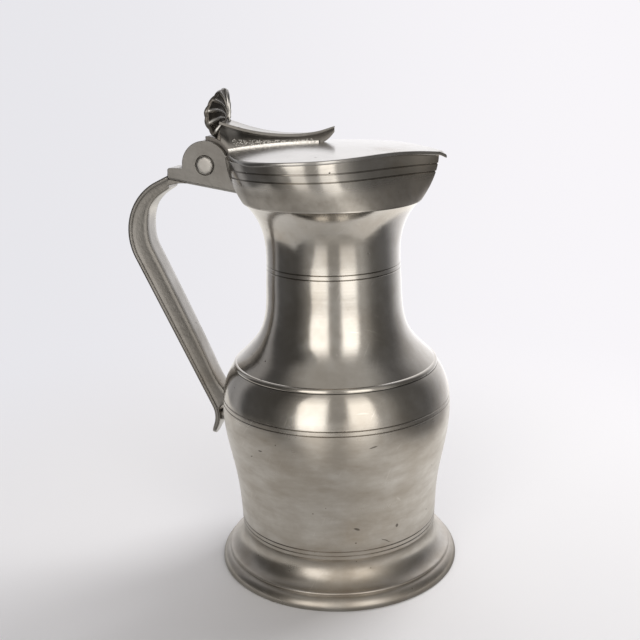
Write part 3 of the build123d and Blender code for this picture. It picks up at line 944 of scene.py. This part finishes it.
def make_pin_cover(name, node, side):
    """A low domed cap, worn to eight soft corners."""
    rings = [(share, cover_proud * part) for share, part in cover_shape]
    rings += [(cover_side, -0.12), (cover_side, -cover_depth)]
    sides = 64
    vertices = []
    for share, height in rings:
        for i in range(sides):
            angle = math.tau * i / sides
            eight = 1 - 0.05 * share * (0.5 - 0.5 * math.cos(8 * angle + 0.4))
            radius = share * cover_radius * eight
            x = pin_x + radius * math.cos(angle)
            z = pin_z + radius * math.sin(angle)
            vertices.append((x, side * (ear_outside + height), z))
    faces = grid_faces(len(rings), sides, closed_columns=True)
    faces.append(tuple(range(len(vertices) - sides, len(vertices))))
    return make_piece(name, vertices, faces, "pitcher", pewter["cap"], [node], 50)


def handle_profile(flange, web, thick, depth):
    """A cut across the handle as distances sideways and inwards, for half widths of flange and web."""
    half = [(0.0, 0.0), (flange * 0.5, 0.06), (flange - flange_round, flange_crown)]
    half += [(flange - 0.16, flange_crown + 0.2), (flange, flange_crown + flange_round)]
    half += [(flange, thick - 0.45), (flange - 0.2, thick - 0.1)]
    half += [(web + 0.12, thick), (web, thick + 0.3)]
    tall = depth - thick - 0.9 if depth > thick + 1.5 else 0.0
    for where in (0.25, 0.5, 0.75):
        hollow = web_hollow * math.sin(math.pi * where) * min(1, depth / 6)
        half.append((web - hollow, thick + 0.3 + tall * where))
    low = max(depth, thick + 0.4)
    half += [(web, max(low - 0.6, thick + 0.32)), (web - 0.18, max(low - 0.18, thick + 0.35))]
    half += [(web - 0.6, low), (web * 0.5, low + 0.05)]
    return half + [(-y, n) for y, n in half[:0:-1]]


def web_reach(point, way, depth):
    """How far the web goes in from a point of the handle's back before it meets the body or ends."""
    reach = depth
    for d in np.arange(flange_thickness, depth, 0.1):
        x, z = point + way * d
        if -x < body_radius(min(max(z, foot_height), shoulder)) - 0.9:
            reach = d
            break
    if point[1] < web_end + 1.0:
        fade = np.clip((point[1] - web_end + 1.5) / 2.5, 0, 1)
        reach = flange_thickness + (reach - flange_thickness) * fade ** 0.6
    return max(flange_thickness + 0.01, reach)


def make_handle():
    """The strap handle: a flange along the back and a deep web inside it."""
    top = (arm_end, arm_top - handle_step)
    bend = (top[0] - bend_out, top[1] - bend_drop)
    slope = bend_drop / bend_out
    start = (top[0] + flange_thickness, top[1] + flange_thickness * slope)
    tail_x = -(body_radius(strut_height) + strut_length + flange_thickness)
    tail = (tail_x, strut_height + tail_rise)
    tip = (tail_x - tail_curl, strut_height + tail_rise - tail_drop)
    path = fillet_path([start, bend, tail, tip], [bend_radius, tail_bend_radius], 0.7)
    ways = np.gradient(path, axis=0)
    ways /= np.linalg.norm(ways, axis=1)[:, None]
    inward = np.column_stack([-ways[:, 1], ways[:, 0]])
    shares = np.linspace(0, 1, len(path))
    depths = np.interp(shares, shares, free_spline(web_places, web_depths, shares))
    rings = []
    for point, way, depth, share in zip(path, inward, depths, shares):
        tail_share = np.clip((share - 0.955) / 0.045, 0, 1)
        flange = flange_width / 2 * math.sqrt(1 - 0.75 * tail_share ** 3)
        thick = flange_thickness * (1 - 0.35 * tail_share ** 2)
        web = min(handle_width / 2, flange - 0.3)
        profile = handle_profile(flange, web, thick, web_reach(point, way, depth))
        rings.append([(point[0] + way[0] * n, y, point[1] + way[1] * n) for y, n in profile])
    vertices = [(min(x, arm_end) if z > handle_clip else x, y, z) for ring in rings for x, y, z in ring]
    faces = tube_faces(len(rings), len(rings[0]))
    add_lap(vertices, faces)
    finish = pewter["cast"]
    return make_piece("strap_handle", vertices, faces, "pitcher", finish, ["handle"], 40)


def add_lap(vertices, faces):
    """Adds the end of the handle that tapers away under the arm."""
    half = handle_width / 2
    rings = []
    for share in np.linspace(0, 1, 14):
        x = arm_end + lap_length * share
        under = pin_z - arm_low_drop - arm_slope * (x - arm_end)
        low = under - lap_depth * (1 - share) ** 1.6
        near = [(half, under + 0.3), (half, low + 0.3), (half - 0.3, low)]
        far = [(-y, z) for y, z in near[::-1]]
        rings.append([(x, y, z) for y, z in near + far])
    first = len(vertices)
    vertices += [point for ring in rings for point in ring]
    faces += [tuple(first + index for index in face) for face in tube_faces(len(rings), len(rings[0]))]


def bead_tree():
    """Small uneven beads along a line, such as solder pressed into a seam."""
    kinds = {"Spacing": "Float", "Bead": "Float", "Scatter": "Float", "Seed": "Int", "Finish": "Material"}
    net, given = new_tree("bead_row", kinds)
    curve = net.node("GeometryNodeMeshToCurve", inputs={0: given["Geometry"]})
    points = net.node("GeometryNodeCurveToPoints", {"mode": "LENGTH"}, {0: curve, 2: given["Spacing"]})
    shift = net.node(
        "FunctionNodeRandomValue",
        {"data_type": "FLOAT_VECTOR"},
        {0: (-1.0, -1.0, -1.0), 1: (1.0, 1.0, 1.0), 8: given["Seed"]},
    )
    scaled = net.node("ShaderNodeVectorMath", {"operation": "SCALE"}, {0: shift, 3: given["Scatter"]})
    moved = net.node("GeometryNodeSetPosition", inputs={0: points, 3: scaled})
    ball = net.node("GeometryNodeMeshIcoSphere", inputs={0: given["Bead"], 1: 2})
    size = net.node(
        "FunctionNodeRandomValue",
        {"data_type": "FLOAT_VECTOR"},
        {0: (0.6, 0.6, 0.5), 1: (1.25, 1.25, 1.1), 8: given["Seed"] + 7.0},
    )
    placed = net.node("GeometryNodeInstanceOnPoints", inputs={0: moved, 2: ball, 6: size})
    return end_tree(net, placed, given["Finish"])


def bead_row(name, points, body, spacing, bead, scatter, seed):
    """A row of beads along points, with their spacing, radius and scatter in millimetres."""
    values = {"Spacing": spacing * mm, "Bead": bead * mm, "Scatter": scatter * mm}
    values.update({"Seed": seed, "Finish": pewter["solder"]})
    mesh = grown_mesh(name, line_mesh(name, points, False), beads, values)
    return finish_piece(name, mesh, body, pewter["solder"])


def wedge_seam(side, share):
    """A line along the wedge's flank, at a share of the flank's height."""
    table = np.array(wedge_sections)
    points = []
    for distance in np.linspace(*wedge_beads, 60):
        measures = [float(free_spline(table[:, 0], table[:, k], distance)) for k in (1, 2, 3)]
        rise, top_half, foot_half = measures
        foot = float(dome_height(abs(pin_x + distance))) + lid_thickness
        height = lid_top + rise - wedge_edge - foot
        waist = foot_half + (top_half - foot_half) * flank_share
        flank = arc((foot_half, 0), (waist, height * flank_level), (top_half, height), 20)
        out = float(np.interp(share * height, [z for _, z in flank], [y for y, _ in flank]))
        points.append((pin_x + distance, side * (out + 0.08), foot + share * height))
    return points


def ear_seam(side):
    """The line where an ear's side meets the collar."""
    points = []
    for height in np.linspace(*ear_beads, 40):
        outline = mouth_outline(collar_blend(height), 0.1)
        back = outline[: len(outline) // 4]
        x = float(np.interp(ear_outside + 0.1, back[:, 1], back[:, 0]))
        points.append((x - 0.1, side * (ear_outside + 0.1), crease + height))
    return points


def noise(net, vector, scale, detail=2.0, rough_share=0.5):
    """Cloudy noise over a vector."""
    return net.node("ShaderNodeTexNoise", None, {0: vector, 2: scale, 3: detail, 4: rough_share})


def cells(net, vector, scale):
    """The distance to the middle of the nearest cell, and a chance that is each cell's own."""
    cell = net.node("ShaderNodeTexVoronoi", {"feature": "F1"}, {0: vector, 2: scale})
    chance, _, _ = net.parts(Value(net, cell.socket.node.outputs[1]))
    return cell, chance


def fine_scratches(net, place):
    """Thin straight scratches in three directions, here and there."""
    directions = (((0.9, 0.3, 0.2), 1500.0), ((-0.7, 0.5, 1.1), 2100.0), ((0.2, 1.2, -0.6), 1800.0))
    lines = 0.0
    for index, (angles, stretch) in enumerate(directions):
        tilted = net.node("ShaderNodeVectorRotate", {"rotation_type": "EULER_XYZ"}, {0: place, 4: angles})
        u, v, w = net.parts(tilted)
        streak = noise(net, net.vector(u * 60.0 + index * 3.7, v * 90.0, w * stretch), 1.0, 1.0)
        here = net.smooth(noise(net, place, 45.0 + 13.0 * index, 1.0), 0.55, 0.66)
        lines = net.smooth(streak, 0.705, 0.745) * here + lines
    return lines


def pits_and_spots(net, place, fine_cloud, pits):
    """Small round pits and larger ragged spots, in a share of their cells."""
    cell, chance = cells(net, place, 330.0)
    pit = (1 - net.smooth(cell, 0.05, 0.17)) * (chance > 1 - pits)
    big, big_chance = cells(net, place, 75.0)
    ragged = big + (fine_cloud - 0.5) * 0.16
    spot = (1 - net.smooth(ragged, 0.05, 0.1)) * (big_chance > 1 - pits * 0.9)
    return net.math("MAXIMUM", pit * 0.75, spot * 0.8)


def mark_colour(net, colour, x, y, height, fine_cloud):
    """The colour with the lower body's dark marks on it."""
    around = net.math("ARCTAN2", x, -y) * mark_radius
    for turn, high, long, wide, slope in body_marks:
        along = around - math.radians(turn) * mark_radius + (fine_cloud - 0.5) * 2.0
        level = (height - high) - along * slope + (fine_cloud - 0.5) * 1.2
        reach = net.math("SQRT", (along / long) ** 2.0 + (level / wide) ** 2.0, 0.0)
        colour = net.mix((1 - net.smooth(reach, 0.6, 1.2)) * 0.75, colour, tint(0.07, 0.06, 0.05))
    return colour


def age_colour(net, colour, rough, place, cloud, fine_cloud):
    """Adds the dull lower body, the rougher collar foot with its painted shade, the dirt in the lines with
    painted shade in the joints, and the marks.
    """
    x, y, z = net.parts(place)
    height = z / mm
    down = noise(net, net.vector(x * 55.0, y * 55.0, z * 170.0), 1.0, 6.0, 0.62)
    worn = 1 - net.smooth(height + (cloud - 0.5) * 20.0, dull_top - 8.0, dull_top + 4.0)
    colour = net.mix(worn * (0.3 + (down - 0.5) * 1.3), colour, tint(0.285, 0.24, 0.19))
    # Painted shade: the collar's downward-facing foot is darkened; it is also made rougher
    matt_and_shade = 1 - net.smooth(height + (cloud - 0.5) * 8.0, collar_foot + 6.0, collar_foot + 13.0)
    matt_and_shade = net.smooth(height, collar_foot, collar_foot + 1.0) * matt_and_shade
    colour = net.mix(matt_and_shade * (0.55 + (fine_cloud - 0.5) * 0.9), colour, tint(0.22, 0.197, 0.168))
    # Dirt in the incised lines, and painted shade in the joints above the shoulder and just under the
    # collar's edge
    away = 1.0
    for seam in seam_heights:
        away = net.math("MINIMUM", net.math("ABSOLUTE", height - seam, 0.0), away)
    colour = net.mix((1 - net.smooth(away, 0.1, 0.36)) * 0.45, colour, tint(0.1, 0.088, 0.075))
    rough = rough + worn * (0.16 + (down - 0.5) * 0.16) + matt_and_shade * 0.28
    return mark_colour(net, colour, x, y, height, fine_cloud), rough


def metal(
    name, bright, dull, stain, rough, turning_lines=0.0, hammer=0.5, scratches=1.0, pits=0.05, grain=0.1,
    relief=False, aged=False, side_shade=0.0,
):
    """Old pewter: uneven lustre, lines left by turning, fine scratches, small dark pits and stains."""
    material = bpy.data.materials.new(name)
    net = cleared_net(material)
    tree = net.tree
    place = net.node("ShaderNodeTexCoord", out=3)
    x, y, z = net.parts(place)
    cone = z + net.math("SQRT", x * x + y * y, 0.0) * 0.35

    cloud = noise(net, place, 38.0, 5.0)
    fine_cloud = noise(net, place, 210.0, 3.0)
    stained = net.smooth(noise(net, place, 14.0, 6.0, 0.62), 0.52, 0.72)
    turned = noise(net, net.vector(x * 22.0, y * 22.0, cone * 2600.0), 1.0, 4.0)
    broad_rings = noise(net, net.vector(x * 9.0, y * 9.0, cone * 420.0), 1.0, 2.0)
    lines = fine_scratches(net, place)
    dark = pits_and_spots(net, place, fine_cloud, pits)

    tone = net.smooth(cloud + (fine_cloud - 0.5) * 0.25, 0.32, 0.68)
    colour = net.mix(tone, tint(*dull), tint(*bright))
    colour = net.mix(stained * 0.7, colour, tint(*stain))
    colour = net.mix(net.smooth(turned, 0.3, 0.75) * 0.12 * turning_lines, colour, tint(*dull))
    scratched = tint(*[min(1, c * 1.35) for c in bright])
    colour = net.mix(net.math("MINIMUM", lines * 0.3 * scratches, 1.0), colour, scratched)
    colour = net.mix(dark, colour, tint(0.055, 0.045, 0.035))
    # Painted shade: faces turned across the pitcher, such as the flat sides of the handle, ears and rib, are
    # darkened by this share
    if side_shade:
        _, across, _ = net.parts(net.node("ShaderNodeNewGeometry", out=1))
        flat = net.smooth(net.math("ABSOLUTE", across, 0.0), 0.55, 0.93)
        colour = net.mix(flat * side_shade, colour, tint(0.07, 0.064, 0.058))
    # Painted shade: the shell is darkened everywhere but on its rib crests, which stand out as if lit
    if relief:
        raised = net.node("ShaderNodeAttribute", {"attribute_name": "relief"}, out=2)
        colour = net.mix(net.smooth(raised, 0.08, 0.45), tint(0.12, 0.108, 0.095), colour)
    if aged:
        colour, rough = age_colour(net, colour, rough, place, cloud, fine_cloud)
    roughness = rough + (cloud - 0.5) * 0.12 + (turned - 0.5) * 0.08 * turning_lines + stained * 0.09
    roughness = net.math("MAXIMUM", roughness + dark * 0.35 + (fine_cloud - 0.5) * 0.08, 0.08)

    height = (turned - 0.5) * 0.006 * turning_lines + (broad_rings - 0.5) * 0.02 * turning_lines
    height = height + (cloud - 0.5) * 0.16 * hammer + (fine_cloud - 0.5) * 0.03 * hammer
    height = height + (noise(net, place, 1300.0, 3.0) - 0.5) * 0.03 * grain
    height = height + (noise(net, place, 520.0, 2.0) - 0.5) * 0.05 * grain
    height = height - dark * 0.05 - lines * 0.004 * scratches
    bump = net.node("ShaderNodeBump", None, {"Strength": 1.0, "Distance": mm, "Height": height})

    shader = tree.nodes.new("ShaderNodeBsdfPrincipled")
    shader.inputs["Metallic"].default_value = 1.0
    for label, value in (("Base Color", colour), ("Roughness", roughness), ("Normal", bump)):
        tree.links.new(value.socket, shader.inputs[label])
    tree.links.new(shader.outputs[0], tree.nodes.new("ShaderNodeOutputMaterial").inputs[0])
    return material


pewter = {
    "turned": metal(
        "turned_pewter", (0.59, 0.563, 0.523), (0.475, 0.44, 0.392), (0.41, 0.345, 0.27), 0.16,
        turning_lines=1.0, hammer=0.35, pits=0.05, aged=True,
    ),
    "lid": metal(
        "lid_pewter", (0.53, 0.512, 0.487), (0.43, 0.412, 0.388), (0.38, 0.335, 0.28), 0.24,
        turning_lines=0.3, hammer=0.6, pits=0.03,
    ),
    "cast": metal(
        "cast_pewter", (0.50, 0.48, 0.45), (0.36, 0.34, 0.31), (0.30, 0.26, 0.21), 0.3,
        hammer=0.8, scratches=0.8, pits=0.06, grain=1.0, side_shade=0.62,
    ),
    "ear": metal(
        "ear_pewter", (0.46, 0.445, 0.42), (0.3, 0.285, 0.265), (0.2, 0.17, 0.145), 0.34,
        hammer=0.9, scratches=1.0, pits=0.1, grain=0.8, side_shade=0.62,
    ),
    "cap": metal(
        "cap_pewter", (0.48, 0.465, 0.44), (0.4, 0.38, 0.355), (0.28, 0.25, 0.21), 0.42,
        hammer=0.5, scratches=0.8, pits=0.05, grain=0.8,
    ),
    "rib": metal(
        "rib_pewter", (0.46, 0.445, 0.42), (0.31, 0.295, 0.27), (0.2, 0.18, 0.15), 0.3,
        hammer=0.8, scratches=0.6, pits=0.05, grain=1.0, side_shade=0.75,
    ),
    "shell": metal(
        "shell_pewter", (0.60, 0.585, 0.56), (0.48, 0.465, 0.44), (0.36, 0.33, 0.28), 0.24,
        hammer=0.3, scratches=0.4, pits=0.02, grain=0.25, relief=True,
    ),
    "solder": metal(
        "rough_solder", (0.84, 0.82, 0.79), (0.62, 0.6, 0.57), (0.36, 0.33, 0.29), 0.26,
        hammer=0.5, scratches=0.0, pits=0.1, grain=2.0,
    ),
    # Painted shade: the knuckle and pin are pewter painted dark, for the shade between the ears
    "hinge": metal(
        "hinge_in_painted_shade", (0.22, 0.205, 0.19), (0.13, 0.12, 0.11), (0.09, 0.08, 0.07), 0.42,
        hammer=0.5, scratches=0.6, pits=0.06, grain=1.0,
    ),
}

turning = turning_tree()
beads = bead_tree()

make_foot()
make_lower_body()
make_neck()
make_collar()
make_lid()
make_wedge()
make_shell()
make_handle()
dressed_copy("ear_near", "hinge_ear_near", "pitcher", pewter["ear"], 0.3, on_lower_edge)
dressed_copy("ear_far", "hinge_ear_far", "pitcher", pewter["ear"], 0.3, on_lower_edge)
dressed_copy("arm_block", "hinge_block", "pitcher", pewter["ear"], 0.15)
dressed_copy("knuckle", "lid_knuckle", "lid", pewter["hinge"], 0.25)
dressed_copy("tail_strut", "handle_strut", "pitcher", pewter["cast"], 0.1)
make_pin_cover("pin_cap_near", "pin_cover_near", -1)
make_pin_cover("pin_cap_far", "pin_cover_far", 1)
for step, share in enumerate(wedge_bead_rows):
    bead_row(f"wedge_beads_near_{step}", wedge_seam(-1, share), "lid", *wedge_bead_sizes, 3 + step)
    bead_row(f"wedge_beads_far_{step}", wedge_seam(1, share), "lid", *wedge_bead_sizes, 11 + step)
bead_row("ear_beads_near", ear_seam(-1), "pitcher", *ear_bead_sizes, 5)
bead_row("ear_beads_far", ear_seam(1), "pitcher", *ear_bead_sizes, 17)

finishes = {
    "base_disc": "cast", "base_solder": "solder", "ear_solder_near": "solder", "ear_solder_far": "solder",
    "hinge_pin": "hinge", "wedge_solder_near": "solder", "wedge_solder_far": "solder",
}
for node, finish in finishes.items():
    slots = nodes[node].material_slots
    if not slots:
        nodes[node].data.materials.append(pewter[finish])
    for each in nodes[node].material_slots:
        each.material = pewter[finish]


def level_stops(levels):
    """The stops of a ramp over a list of levels, halved to fit it, and where it starts and ends."""
    low, high = levels[0][0], levels[-1][0]
    return [((place - low) / (high - low), grey / level_scale) for place, grey in levels], low, high


def ramp_level(net, value, levels):
    """A level that follows its list as a value goes up, still halved."""
    stops, low, high = level_stops(levels)
    greys = [(place, (grey,) * 3) for place, grey in stops]
    shade = net.node("ShaderNodeValToRGB", {"stops": greys}, {0: (value - low) / (high - low)})
    return net.parts(shade)[0]


def between(net, value, edges):
    """1 between the inner two of four edges, and 0 outside the outer two."""
    return net.smooth(value, edges[0], edges[1]) * (1 - net.smooth(value, edges[2], edges[3]))


def from_camera(x, y):
    """How far a place or direction lies to the camera's right, and how far towards the camera."""
    turn = math.radians(camera_azimuth)
    return x * math.cos(turn) + y * math.sin(turn), x * math.sin(turn) - y * math.cos(turn)


def studio_world():
    """A white room behind, a dark one in front, and two tall lit panels beside the camera."""
    world = bpy.data.worlds.new("studio")
    net = cleared_net(world)
    tree = net.tree
    x, y, z = net.parts(net.node("ShaderNodeTexCoord", out=0))
    right, front = from_camera(x, y)
    angle = net.math("ARCTAN2", right, front) * (180 / math.pi)
    lift = net.math("ARCSINE", z, 0.0) * (180 / math.pi)

    around = ramp_level(net, angle, room_levels)
    panels = ramp_level(net, lift, panel_levels)
    inset = (1 - net.smooth(lift, -22.0, -4.0)) * left_panel_low_inset
    inset = inset + net.smooth(lift, 34.0, 52.0) * left_panel_high_inset
    left_start = net.smooth(angle - inset, left_panel_edges[0], left_panel_edges[1])
    left_panel = left_start * (1 - net.smooth(angle, left_panel_edges[2], left_panel_edges[3]))
    right_panel = between(net, angle, right_panel_edges)
    ahead = 1 - net.smooth(net.math("ABSOLUTE", angle, 0.0), 70.0, 110.0)
    over = net.smooth(lift, *ceiling_lift)
    under = (1 - net.smooth(lift, *ground_lift)) * ahead
    warm = net.mix(ahead, tint(0.98, 0.975, 1.0), tint(1.0, 0.97, 0.925))
    plain = around + (ceiling_levels[0] + ceiling_levels[1] * ahead - around) * over
    ground = ground_levels[0] + ground_levels[1] * net.smooth(angle, 5.0, 60.0)
    plain = plain + (ground - plain) * under
    lit = plain + (panels - plain) * (left_panel + right_panel)
    room = net.node("ShaderNodeVectorMath", {"operation": "SCALE"}, {0: warm, 3: lit})
    sky = net.node("ShaderNodeBackground", None, {0: room, 1: level_scale})
    seen_side = net.smooth(right, *backdrop_span)
    seen_colour = net.mix(seen_side, tint(*backdrop_left), tint(*backdrop_right))
    seen = net.node("ShaderNodeBackground", None, {0: seen_colour, 1: 1.0})
    camera_ray = net.node("ShaderNodeLightPath", out=0)
    both = net.node("ShaderNodeMixShader", None, {0: camera_ray, 1: sky, 2: seen})
    tree.links.new(both.socket, tree.nodes.new("ShaderNodeOutputWorld").inputs[0])
    bpy.context.scene.world = world


def studio_floor():
    """A pale table that runs out of sight behind; in the metal it is a painted reflection, a glow with a
    painted shadow round the foot, that ends in front of and beside the pitcher.
    """
    mesh = bpy.data.meshes.new("table")
    corners = [(-table_reach, -table_reach, 0), (table_reach, -table_reach, 0)]
    corners += [(table_reach, table_reach, 0), (-table_reach, table_reach, 0)]
    mesh.from_pydata(corners, [], [(0, 1, 2, 3)])
    floor = linked_object("table", mesh)
    material = bpy.data.materials.new("pale_table")
    net = cleared_net(material)
    tree = net.tree
    x, y, z = net.parts(net.node("ShaderNodeTexCoord", out=3))
    right, front = from_camera(x, y)
    away = net.math("SQRT", x * x + y * y, 0.0)
    mirrored = net.node("ShaderNodeLightPath", out=3)

    weave = noise(net, net.vector(x, y, z), 3.0, 3.0)
    pale = net.mix(weave * 0.15, tint(0.86, 0.855, 0.875), tint(0.83, 0.825, 0.85))
    cloth = net.node("ShaderNodeBsdfDiffuse", None, {0: pale})
    bearing = net.smooth(right / (away + camera_distance), *backdrop_span)
    across = net.mix(bearing, tint(*backdrop_left), tint(*backdrop_right))
    far = net.node("ShaderNodeEmission", None, {0: across, 1: 1.0})
    faded = net.smooth(away, *table_fade)
    spread = net.node("ShaderNodeMixShader", None, {0: faded, 1: cloth, 2: far})

    # Painted reflection: what the metal mirrors of the table is a glow, its level listed along the table,
    # darkened round the foot as a painted shadow and brighter to the right
    stops, low, high = level_stops(table_levels)
    warm_stops = [(place, (grey, grey / 1.02, grey / 1.05)) for place, grey in stops]
    sheen = net.node("ShaderNodeValToRGB", {"stops": warm_stops}, {0: (front - low) / (high - low)})
    painted_contact_shadow = 0.4 + 0.6 * net.smooth(away, *foot_shade)
    painted_contact_shadow = painted_contact_shadow * (0.95 + 0.5 * net.smooth(right, -0.02, 0.12))
    painted_table_reflection = net.node("ShaderNodeEmission", None, {0: sheen, 1: painted_contact_shadow * level_scale})
    clear = net.node("ShaderNodeBsdfTransparent")
    beyond = net.math("MAXIMUM", net.smooth(front, *table_front_end), net.smooth(right, *table_right_end))
    beyond = net.math("MAXIMUM", beyond, net.smooth(-right, *table_left_end))
    in_metal = net.node("ShaderNodeMixShader", None, {0: beyond, 1: painted_table_reflection, 2: clear})
    whole = net.node("ShaderNodeMixShader", None, {0: mirrored, 1: spread, 2: in_metal})
    tree.links.new(whole.socket, tree.nodes.new("ShaderNodeOutputMaterial").inputs[0])
    floor.data.materials.append(material)


def soft_light(name, place, target, size, power, colour):
    """A large soft lamp that points at a target and isn't mirrored in the metal."""
    lamp = bpy.data.lights.new(name, "AREA")
    lamp.shape = "RECTANGLE"
    lamp.size, lamp.size_y = size
    lamp.energy = power
    lamp.color = colour
    light = bpy.data.objects.new(name, lamp)
    light.location = Vector(place)
    light.rotation_euler = (Vector(target) - Vector(place)).to_track_quat("-Z", "Y").to_euler()
    light.visible_glossy = False
    light.visible_camera = False
    bpy.context.scene.collection.objects.link(light)


def set_camera():
    """The camera, as fitted to the picture."""
    pitch, turn, roll = (math.radians(v) for v in (camera_pitch, camera_turn, camera_roll))
    forward = Vector((math.sin(turn) * math.cos(pitch), math.cos(turn) * math.cos(pitch), -math.sin(pitch)))
    level = Vector((math.cos(turn), -math.sin(turn), 0))
    upward = level.cross(forward)
    right = level * math.cos(roll) + upward * math.sin(roll)
    up = upward * math.cos(roll) - level * math.sin(roll)
    around = Matrix.Rotation(math.radians(camera_azimuth), 3, "Z")
    axes = Matrix((around @ right, around @ up, around @ -forward)).transposed()
    data = bpy.data.cameras.new("camera")
    data.lens = camera_lens
    data.sensor_width = camera_sensor
    data.clip_start = 0.01
    camera = bpy.data.objects.new("camera", data)
    camera.matrix_world = Matrix.Translation(Vector(camera_place) * mm) @ axes.to_4x4()
    bpy.context.scene.collection.objects.link(camera)
    bpy.context.scene.camera = camera


studio_world()
studio_floor()
soft_light("key", key_place, key_target, key_size, key_power, key_colour)
set_camera()
bpy.context.scene.view_settings.view_transform = "Standard"
